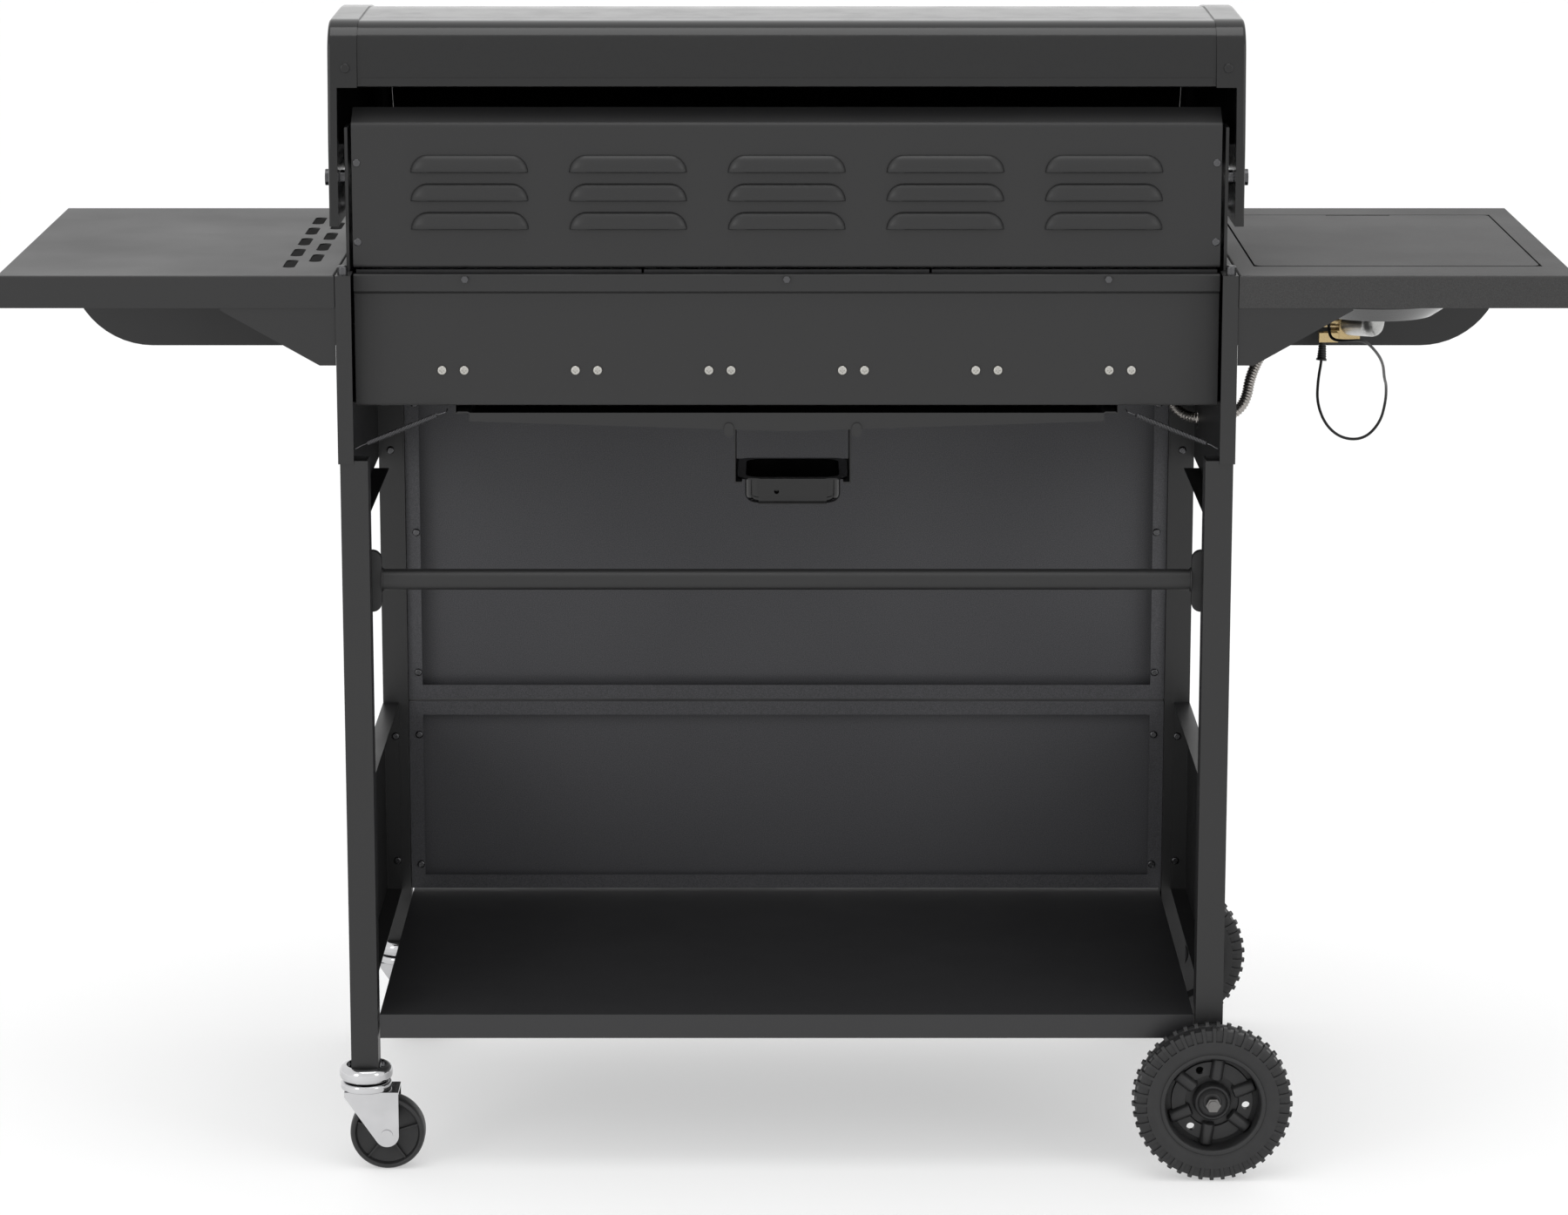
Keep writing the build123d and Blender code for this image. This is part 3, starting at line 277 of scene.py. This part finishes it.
def powder_coat(name, colour, roughness, grain, depth, speck=0.18):
    """Baked powder paint: fine grain, faint clouding and small changes of gloss."""
    look = Look(name, colour, roughness, specular=0.45)
    cloud = look.noise(6.0, 4.0)
    fine = look.noise(grain, 2.0)
    look.vary_colour(look.remap(fine, 0.0, 1.0), scaled(colour, 1 - speck), scaled(colour, 1 + speck))
    look.vary_roughness(cloud, roughness - 0.04, roughness + 0.05)
    look.bump(fine, depth, 0.6)
    look.bump(look.noise(grain * 0.16, 2.0), depth * 3, 0.15)
    return look.material


def gloss_enamel(name, colour):
    """Vitreous enamel: deep gloss over slightly wavy steel."""
    look = Look(name, colour, 0.14, specular=0.38, coat=0.1, coat_roughness=0.04)
    look.vary_roughness(look.noise(30.0, 4.0), 0.11, 0.19)
    look.vary_colour(look.remap(look.noise(900.0, 1.0), 0.0, 1.0), scaled(colour, 0.8), scaled(colour, 1.3))
    look.bump(look.noise(7.0, 1.0), 0.0012, 0.25)
    look.bump(look.noise(260.0, 1.0), 0.00006, 0.35)
    return look.material


def metal(name, colour, roughness, stretch=(1, 1, 1), grain=300.0, depth=0.00003, coat=0.0):
    look = Look(name, colour, roughness, metallic=1.0, coat=coat)
    lines = look.noise(grain, 4.0, stretch)
    look.vary_roughness(lines, roughness * 0.75, min(roughness * 1.35, 1.0))
    look.vary_colour(look.remap(look.noise(22.0, 3.0), 0.0, 1.0), scaled(colour, 0.86), colour)
    look.bump(lines, depth, 0.5)
    return look.material


def moulded(name, colour, roughness, grain=1400.0, depth=0.00004, specular=0.4):
    """Moulded rubber or plastic with a fine spark-eroded grain and scuffs."""
    look = Look(name, colour, roughness, specular=specular)
    fine = look.noise(grain, 2.0)
    scuff = look.noise(45.0, 6.0, rough=0.7)
    look.vary_colour(look.remap(scuff, 0.0, 1.0, 0.35, 0.75), scaled(colour, 0.85), scaled(colour, 1.35))
    look.vary_roughness(scuff, roughness - 0.06, roughness + 0.08)
    look.bump(fine, depth, 0.7)
    return look.material


def cast(name, colour, roughness):
    look = Look(name, colour, roughness, specular=0.4)
    coarse = look.noise(420.0, 5.0, rough=0.65)
    look.vary_colour(look.remap(look.noise(35.0, 4.0), 0.0, 1.0), scaled(colour, 0.75), scaled(colour, 1.3))
    look.vary_roughness(coarse, roughness - 0.1, roughness + 0.1)
    look.bump(coarse, 0.00022, 0.7)
    return look.material


LOOKS = {
    "powder_coat": powder_coat("powder_coat_look", (0.0125, 0.0125, 0.0128), 0.42, 2600.0, 0.00005),
    "shelf_textured": powder_coat("shelf_coat_look", (0.024, 0.0235, 0.0235), 0.55, 900.0, 0.00016, 0.3),
    "front_textured": powder_coat("front_coat_look", (0.050, 0.050, 0.055), 0.52, 1100.0, 0.00014, 0.4),
    "shelf_floor": powder_coat("floor_coat_look", (0.019, 0.019, 0.020), 0.36, 2400.0, 0.00004),
    "gloss_enamel": gloss_enamel("enamel_look", (0.006, 0.006, 0.0062)),
    "black_steel": metal("black_steel_look", (0.10, 0.10, 0.104), 0.26, grain=500.0),
    "zinc": metal("zinc_look", (0.50, 0.49, 0.46), 0.30, grain=900.0),
    "stainless": metal("stainless_look", (0.36, 0.34, 0.32), 0.27, (0.04, 1, 1), 420.0),
    "chrome": metal("chrome_look", (0.62, 0.62, 0.63), 0.12, grain=120.0, depth=0.00001),
    "black_plastic": moulded("wheel_plastic_look", (0.015, 0.015, 0.0155), 0.44),
    "brass": metal("brass_look", (0.55, 0.42, 0.22), 0.3, grain=700.0),
    "cast_iron": cast("cast_iron_look", (0.014, 0.014, 0.015), 0.45),
    "cast_aluminium": metal("cast_aluminium_look", (0.46, 0.46, 0.45), 0.34, grain=600.0, depth=0.00008),
    "needle_red": moulded("needle_look", (0.45, 0.02, 0.015), 0.35),
    "wire_black": moulded("lead_look", (0.009, 0.009, 0.009), 0.42),
}
for entry in frame["record"]["subparts"]:
    piece = nodes[entry["node"]]
    piece.data.materials.clear()
    piece.data.materials.append(LOOKS[entry["material_slot"]])
nodes["wheel_axle"].data.materials[0] = metal("axle_look", (0.20, 0.195, 0.19), 0.36, grain=700.0)


def dress(piece, slot, body):
    piece.data.materials.clear()
    piece.data.materials.append(LOOKS[slot])
    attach(piece, body)
    return piece


hose.data.materials.append(LOOKS["stainless"])
for piece in (wire, boot):
    piece.data.materials.append(LOOKS["wire_black"])


# ---------------------------------------------------------------- bevelled edges
SHARP_ANGLE = math.radians(35.0)
SHEET_EDGE, STAMPED_EDGE = 0.0005, 0.0008


def soften(piece, width, segments=2):
    """A small round along the sharp edges, as rolled and moulded edges have."""
    bevel = piece.modifiers.new("edge", "BEVEL")
    bevel.width = width
    bevel.segments = segments
    bevel.limit_method = "ANGLE"
    bevel.angle_limit = SHARP_ANGLE


for node in ("legs", "upper_side_panels", "lower_side_panels", "front_panels", "bottom_shelf", "side_shelf",
             "side_burner_shelf", "side_burner_lid", "shelf_supports", "control_panel", "firebox_rear_panel",
             "grease_tray", "grease_cup", "lid_rear_skin", "lid_front_skin", "firebox_walls"):
    soften(nodes[node], SHEET_EDGE)
for node in ("caster_fork_rear", "caster_fork_front"):
    soften(nodes[node], STAMPED_EDGE, 3)


# ---------------------------------------------------------------- wheels
# The tyre repeats LUGS times. Within one repeat, a rib is RIB_IN to RIB_OUT of it to each side of its middle.
LUGS = 44
LUG_PHASES = (0.0, 0.16, 0.19, 0.31, 0.34, 0.5, 0.66, 0.69, 0.81, 0.84)
RIB_IN, RIB_OUT = 0.16, 0.19
KNOB_HEIGHT, POCKET_DEPTH = 0.0026, 0.0016
POCKET_INNER_R, POCKET_OUTER_R = 0.0660, 0.0760
SPOKES, SPOKE_TURN, SPOKE_ARC = 6, 38.0, 14
HOLES, HOLE_TURN, HOLE_CIRCLE_R, HOLE_R = 3, 68.0, 0.034, 0.004


def spoke_directions(degrees):
    """The direction outward from the axle at a turn, and the direction across it."""
    turn = math.radians(degrees)
    return Vector((math.cos(turn), 0, math.sin(turn))), Vector((-math.sin(turn), 0, math.cos(turn)))


def revolve_into(bm, middle, profile, outward, steps=96, close=False):
    """Adds a ring turned about the wheel's axle from (radius, outward distance) points."""
    rows = []
    for i in range(steps):
        turn = 2 * math.pi * i / steps
        rows.append([
            bm.verts.new(middle + Vector((r * math.cos(turn), v * outward, r * math.sin(turn))))
            for r, v in profile
        ])
    faces = []
    columns = len(profile)
    for i in range(steps):
        for j in range(columns if close else columns - 1):
            k = (j + 1) % columns
            face = bm.faces.new((rows[i][j], rows[i][k], rows[(i + 1) % steps][k], rows[(i + 1) % steps][j]))
            face.smooth = True
            faces.append(face)
    bmesh.ops.recalc_face_normals(bm, faces=faces)


def tyre_into(bm, middle, radius, half, outward):
    """The tyre: ribs on both sidewalls that end in knobs on the tread, half a pitch apart."""
    # Radius, and distance from the middle of the width as a share of half of it.
    profile = [(0.0502, 0.70), (0.0506, 0.80), (0.0520, 0.84), (0.0545, 0.845), (0.0560, 0.90),
               (0.0600, 0.925), (0.0640, 0.925), (0.0658, 0.925), (0.0661, 0.92), (0.0700, 0.91),
               (0.0735, 0.88), (0.0752, 0.82), (0.0762, 0.70), (0.0768, 0.55), (0.0768, 0.36),
               (0.0762, 0.26), (0.0755, 0.20), (0.0755, 0.0)]
    profile += [(r, -v) for r, v in reversed(profile[:-1])]
    rows = []
    for place in [lug + phase for lug in range(LUGS) for phase in LUG_PHASES]:
        turn = 2 * math.pi * place / LUGS
        row = []
        for r, v in profile:
            phase = (place + (0.5 if v < 0 else 0.0)) % 1.0
            edge = min(phase, 1 - phase)
            rib = min(max((RIB_OUT - edge) / (RIB_OUT - RIB_IN), 0.0), 1.0)
            on_side = POCKET_INNER_R <= r <= POCKET_OUTER_R and abs(v) > 0.7
            on_tread = r > POCKET_OUTER_R and abs(v) > 0.3
            rr = min(r + (KNOB_HEIGHT * rib if on_tread else 0.0), radius)
            vv = math.copysign(abs(v) * half - (POCKET_DEPTH * (1 - rib) if on_side else 0.0), v)
            spot = Vector((rr * math.cos(turn), vv * outward, rr * math.sin(turn)))
            row.append(bm.verts.new(middle + spot))
        rows.append(row)
    for a, b in zip(rows, rows[1:] + rows[:1]):
        for j in range(len(profile) - 1):
            bm.faces.new((a[j], a[j + 1], b[j + 1], b[j])).smooth = True


def web_into(bm, middle, half, outward):
    """The rim's inner wall, the dished hub and six half-round spokes."""
    wall = [(0.0528, half * 0.80), (0.0523, half * 0.87), (0.0511, half * 0.915), (0.0497, half * 0.915),
            (0.0482, half * 0.86), (0.0472, half * 0.76), (0.0466, half * 0.58), (0.0462, half * 0.2),
            (0.0460, 0.0), (0.0460, -0.004), (0.0466, -0.006), (0.0502, -half * 0.7)]
    revolve_into(bm, middle, wall, outward)
    hub = [(0.0190, -0.0035), (0.0190, 0.0), (0.0180, half * 0.36), (0.0172, half * 0.46),
           (0.0160, half * 0.50), (0.0148, half * 0.46), (0.0142, half * 0.34), (0.0128, half * 0.28),
           (0.0095, half * 0.28),
           (0.0085, half * 0.34), (0.0070, half * 0.36), (0.0053, half * 0.36), (0.0053, -half + 0.0005),
           (0.0120, -half + 0.0005), (0.0160, -0.006), (0.0190, -0.0035)]
    revolve_into(bm, middle, hub, outward)
    # Distance along the spoke, half its width and its height.
    stations = [(0.0222, 0.0040, 0.0010), (0.0226, 0.0056, 0.0046), (0.0236, 0.0064, 0.0068),
                (0.0260, 0.0066, 0.0074), (0.0425, 0.0066, 0.0074), (0.0440, 0.0064, 0.0068),
                (0.0449, 0.0056, 0.0048), (0.0452, 0.0040, 0.0010)]
    for i in range(SPOKES):
        along, across = spoke_directions(SPOKE_TURN + 360 / SPOKES * i)
        rows = []
        for distance, width, height in stations:
            row = []
            for k in range(SPOKE_ARC + 1):
                turn = math.pi * k / SPOKE_ARC
                root = 0.0036 if k in (0, SPOKE_ARC) else 0.0006
                out = Vector((0, outward * (height * math.sin(turn) - root), 0))
                row.append(bm.verts.new(middle + along * distance + across * width * math.cos(turn) + out))
            rows.append(row)
        for a, b in zip(rows, rows[1:]):
            for k in range(SPOKE_ARC):
                bm.faces.new((a[k], a[k + 1], b[k + 1], b[k])).smooth = True


def pierced_disc(name, middle, outward):
    """The web disc with its round holes, and the raised field between the hub and the rim."""
    bm = bmesh.new()
    section = [(0.0180, -0.0036), (0.0262, -0.0030), (0.0268, 0.0), (0.0403, 0.0), (0.0409, -0.0030),
               (0.0462, -0.0036), (0.0462, -0.0060), (0.0180, -0.0060)]
    revolve_into(bm, middle, section, outward, close=True)
    disc = bm_object(name, bm)
    for i in range(HOLES):
        along, across = spoke_directions(HOLE_TURN + 360 / HOLES * i)
        place = Matrix.Translation(middle + HOLE_CIRCLE_R * along) @ Matrix.Rotation(math.pi / 2, 4, "X")
        bm = bmesh.new()
        bmesh.ops.create_cone(bm, cap_ends=True, segments=32, radius1=HOLE_R, radius2=HOLE_R, depth=0.03,
                              matrix=place)
        drill = bm_object("drill", bm)
        cut = disc.modifiers.new("hole", "BOOLEAN")
        cut.operation = "DIFFERENCE"
        cut.object = drill
        bpy.context.view_layer.update()
        cut_mesh = bpy.data.meshes.new_from_object(disc.evaluated_get(bpy.context.evaluated_depsgraph_get()))
        disc.modifiers.clear()
        disc.data = cut_mesh
        bpy.data.objects.remove(drill)
    for polygon in disc.data.polygons:
        polygon.use_smooth = False
    return disc


def detailed_wheel(node, body, outward):
    low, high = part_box(node)
    middle = (low + high) / 2
    radius, half = (high.z - low.z) / 2, (high.y - low.y) / 2
    bm = bmesh.new()
    tyre_into(bm, middle, radius, half, outward)
    web_into(bm, middle, half, outward)
    bmesh.ops.recalc_face_normals(bm, faces=bm.faces[:])
    wheel = bm_object(f"{node}_detailed", bm)
    wheel.data.set_sharp_from_angle(angle=math.radians(38))
    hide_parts(node)
    dress(wheel, "black_plastic", body)
    dress(pierced_disc(f"{node}_disc", middle, outward), "black_plastic", body)


detailed_wheel("wheel_rear", "rear_wheel", 1)
detailed_wheel("wheel_front", "front_wheel", -1)


ROLLER_RIBS, ROLLER_RIB_TURN, ROLLER_RIB_HALF = 5, 20, 0.0008


def detailed_roller(node, body):
    """A caster roller: rounded tread, deep rim, hub and thin ribs."""
    low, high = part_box(node)
    middle = (low + high) / 2
    radius = (high.z - low.z) / 2
    side = [(0.0041, 0.0129), (0.0100, 0.0129), (0.0110, 0.0124), (0.0114, 0.0080), (0.0122, 0.0062),
            (0.0300, 0.0056), (0.0312, 0.0064), (0.0318, 0.0104), (0.0326, 0.0116), (0.0340, 0.0118),
            (0.0352, 0.0114), (0.0366, 0.0098), (0.0373, 0.0072), (radius, 0.0040)]
    outline = side + [(r, -v) for r, v in reversed(side)]
    bm = bmesh.new()
    revolve_into(bm, middle, outline, 1)
    for i in range(ROLLER_RIBS):
        along, across = spoke_directions(ROLLER_RIB_TURN + 360 / ROLLER_RIBS * i)
        for face_side in (1, -1):
            corners = []
            for distance, depth in ((0.0112, 0.0050), (0.0316, 0.0050), (0.0316, 0.0088), (0.0112, 0.0105)):
                corners.append(middle + along * distance + Vector((0, face_side * depth, 0)))
            near = [bm.verts.new(c + across * ROLLER_RIB_HALF) for c in corners]
            far = [bm.verts.new(c - across * ROLLER_RIB_HALF) for c in corners]
            ring = [bm.faces.new(near), bm.faces.new(list(reversed(far)))]
            ring += [bm.faces.new((near[k], far[k], far[(k + 1) % 4], near[(k + 1) % 4])) for k in range(4)]
            bmesh.ops.recalc_face_normals(bm, faces=ring)
    roller = bm_object(f"{node}_detailed", bm)
    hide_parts(node)
    dress(roller, "black_plastic", body)


detailed_roller("caster_wheel_rear", "caster_rear_roller")
detailed_roller("caster_wheel_front", "caster_front_roller")


# ---------------------------------------------------------------- louvred panel
LOUVRE_COLUMNS, LOUVRE_ROWS = 5, 3
LOUVRE_COLUMN_PITCH, LOUVRE_ROW_PITCH = 0.1533, 0.02775
LOUVRE_FIRST_ROW, LOUVRE_HALF, LOUVRE_HEIGHT, LOUVRE_RISE = 0.9475, 0.057, 0.017, 0.008
PANEL_SHEET, HOOD_SHEET = 0.0012, 0.0010
# The panel's section in millimetres: the depth of its rear face, its two bends and its leaning top.
PANEL_DEPTH, PANEL_BOTTOM, PANEL_FOLD_Z = 28, 911, 1048.5
FLANGE_BEND, TOP_BEND = 2.5, 6.0
TOP_LEAN = math.atan2(22, 14.5)


def thicken(piece, thickness):
    sheet = piece.modifiers.new("sheet", "SOLIDIFY")
    sheet.thickness = thickness
    sheet.offset = -1.0


def louvre_centres():
    """The middle of each louvre's lower lip, as (x, z)."""
    for column in range(LOUVRE_COLUMNS):
        for row in range(LOUVRE_ROWS):
            yield (column - 2) * LOUVRE_COLUMN_PITCH, LOUVRE_FIRST_ROW + row * LOUVRE_ROW_PITCH


def folded_sheet():
    """The upper rear panel: a flange below, a leaning top edge, and openings under the louvres."""
    low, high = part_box("louvred_back_panel")
    section = [(44, PANEL_BOTTOM)]
    for k in range(5):
        turn = math.pi / 2 * k / 4
        depth = PANEL_DEPTH + FLANGE_BEND - FLANGE_BEND * math.sin(turn)
        section.append((depth, PANEL_BOTTOM + FLANGE_BEND - FLANGE_BEND * math.cos(turn)))
    hole_rows = set()
    for row in range(LOUVRE_ROWS):
        z = (LOUVRE_FIRST_ROW + row * LOUVRE_ROW_PITCH) / MM
        hole_rows.add(len(section))
        section += [(PANEL_DEPTH, z + 0.4), (PANEL_DEPTH, z + 7.0)]
    start = PANEL_FOLD_Z - TOP_BEND * math.tan(TOP_LEAN / 2)
    for k in range(6):
        turn = TOP_LEAN * k / 5
        depth = PANEL_DEPTH + TOP_BEND - TOP_BEND * math.cos(turn)
        section.append((depth, start + TOP_BEND * math.sin(turn)))
    section.append((49.5, 1062.8))
    cuts = [low.x / MM]
    for column in range(LOUVRE_COLUMNS):
        middle = (column - 2) * LOUVRE_COLUMN_PITCH / MM
        cuts += [middle - LOUVRE_HALF / MM + 3.5, middle + LOUVRE_HALF / MM - 3.5]
    cuts.append(high.x / MM)
    points = [at(x, depth, z) for depth, z in section for x in cuts]
    faces = []
    for number, face in enumerate(grid_faces(len(section), len(cuts))):
        row, column = divmod(number, len(cuts) - 1)
        if not (row in hole_rows and column % 2 == 1):
            faces.append(face)
    sheet = mesh_object("upper_rear_panel", points, faces, smooth=False)
    thicken(sheet, PANEL_SHEET)
    return sheet


def louvre_outline():
    """The rim of a louvre from its left to its right lower corner, as (middle of the curve, way outward)."""
    reach = LOUVRE_HALF - LOUVRE_HEIGHT
    turns = [math.pi / 2 * k / 18 for k in range(19)]
    left = [(-reach, (-math.cos(t), math.sin(t))) for t in turns]
    top = [(reach * k / 14, (0.0, 1.0)) for k in range(-13, 14)]
    right = [(reach, (math.cos(t), math.sin(t))) for t in reversed(turns)]
    return left + top + right


def pressed_louvres():
    """The hoods pressed out of the upper rear panel, domed, rounded at both ends and open below."""
    root, curl_height, curl_share = 0.0007, 0.0055, 0.3
    inside = [0.0, 0.05, 0.1, 0.16, 0.23, 0.31, 0.4, 0.5, 0.6, 0.7, 0.78, 0.85, 0.9, 0.94, 0.97, 0.985, 0.995,
              1.0]
    section = []
    for share in inside:
        section.append((LOUVRE_HEIGHT * share, root + (LOUVRE_RISE - root) * math.sqrt(1 - share ** 2.4)))
    for out, rise in ((0.0003, 0.0003), (0.0008, 0.00008), (0.0014, 0.0)):
        section.append((LOUVRE_HEIGHT + out, rise))
    face_y = REAR_Y - PANEL_DEPTH * MM + 0.0001
    outline = louvre_outline()
    bm = bmesh.new()
    for x_middle, z_low in louvre_centres():
        grid = []
        for spine, (across, up) in outline:
            line = []
            for distance, rise in section:
                z = distance * up
                curl = 1 - curl_share * max(1 - z / curl_height, 0.0) ** 2 * (rise / LOUVRE_RISE)
                spot = (x_middle + spine + distance * across, face_y + rise * curl, z_low + z)
                line.append(bm.verts.new(spot))
            grid.append(line)
        for here, there in zip(grid, grid[1:]):
            for k in range(len(section) - 1):
                bm.faces.new((here[k], here[k + 1], there[k + 1], there[k])).smooth = True
    bmesh.ops.remove_doubles(bm, verts=bm.verts[:], dist=0.00001)
    pressed = bm_object("pressed_louvres", bm)
    thicken(pressed, HOOD_SHEET)
    return pressed


panel = folded_sheet()
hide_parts("louvred_back_panel")
dress(panel, "powder_coat", "root")
dress(pressed_louvres(), "powder_coat", "root")


# ---------------------------------------------------------------- springs
COIL_R, COIL_WIRE_R, COIL_TURNS, STEPS_PER_COIL = 0.0021, 0.00055, 58, 14


def spring_piece(sign):
    """A close-wound extension spring with a hooked tail at each end."""
    start, end = at(sign * 336, 14, 768.5), at(sign * 412, 5, 739)
    along = (end - start).normalized()
    side = along.orthogonal().normalized()
    across = along.cross(side)
    length = (end - start).length - 0.010
    points = []
    for i in range(COIL_TURNS * STEPS_PER_COIL + 1):
        turn = 2 * math.pi * i / STEPS_PER_COIL
        spot = start + along * (0.005 + length * i / (COIL_TURNS * STEPS_PER_COIL))
        points.append(spot + (side * math.cos(turn) + across * math.sin(turn)) * COIL_R)
    lead_in = [at(sign * 331, 30, 770.2), at(sign * 331, 16, 770.2), at(sign * 332.5, 13, 769.6)]
    lead_in.append(start + along * 0.003)
    lead_out = [end - along * 0.004, end + along * 0.001]
    lead_out += [at(sign * 417, 2.5, 736.5), at(sign * 420.5, 1.5, 735.5)]
    name = f"extension_spring_{'right' if sign > 0 else 'left'}"
    return tube_mesh(name, lead_in + points + lead_out, lambda run: COIL_WIRE_R, 7)


for sign in (1, -1):
    spring = spring_piece(sign)
    if sign > 0:
        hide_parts("tension_springs")
    dress(spring, "black_steel", "root")


# ---------------------------------------------------------------- floor and light
FLOOR_HALF = 14.0


def area_light(name, place, target, size, power):
    data = bpy.data.lights.new(name, "AREA")
    data.shape = "RECTANGLE"
    data.size, data.size_y = size
    data.energy = power
    lamp = bpy.data.objects.new(name, data)
    lamp.location = place
    lamp.rotation_euler = (Vector(target) - Vector(place)).to_track_quat("-Z", "Y").to_euler()
    bpy.context.scene.collection.objects.link(lamp)


def make_studio():
    corners = [(x * FLOOR_HALF, y * FLOOR_HALF, 0) for x, y in ((-1, -1), (1, -1), (1, 1), (-1, 1))]
    floor = mesh_object("floor", corners, [(0, 1, 2, 3)], smooth=False)
    look = Look("floor_look", (0.55, 0.55, 0.55), 0.7)
    look.set("Emission Color", (1.0, 1.0, 1.0, 1.0))
    look.set("Emission Strength", 0.42)
    look.bump(look.noise(60.0, 3.0), 0.0002, 0.1)
    floor.data.materials.append(look.material)
    world = bpy.data.worlds.new("studio")
    world.use_nodes = True
    backdrop = world.node_tree.nodes["Background"]
    backdrop.inputs["Color"].default_value = (1.0, 1.0, 1.0, 1.0)
    backdrop.inputs["Strength"].default_value = 1.0
    bpy.context.scene.world = world
    area_light("top_softbox", (0, 0.6, 4.2), (0, 0.2, 0.8), (3.0, 2.0), 40)
    area_light("rear_left_softbox", (3.0, 3.2, 1.9), (0, 0, 0.7), (1.2, 2.2), 22)
    area_light("rear_right_softbox", (-3.2, 3.0, 1.9), (0, 0, 0.6), (1.2, 2.2), 16)
    bpy.context.scene.view_settings.view_transform = "Standard"


make_studio()
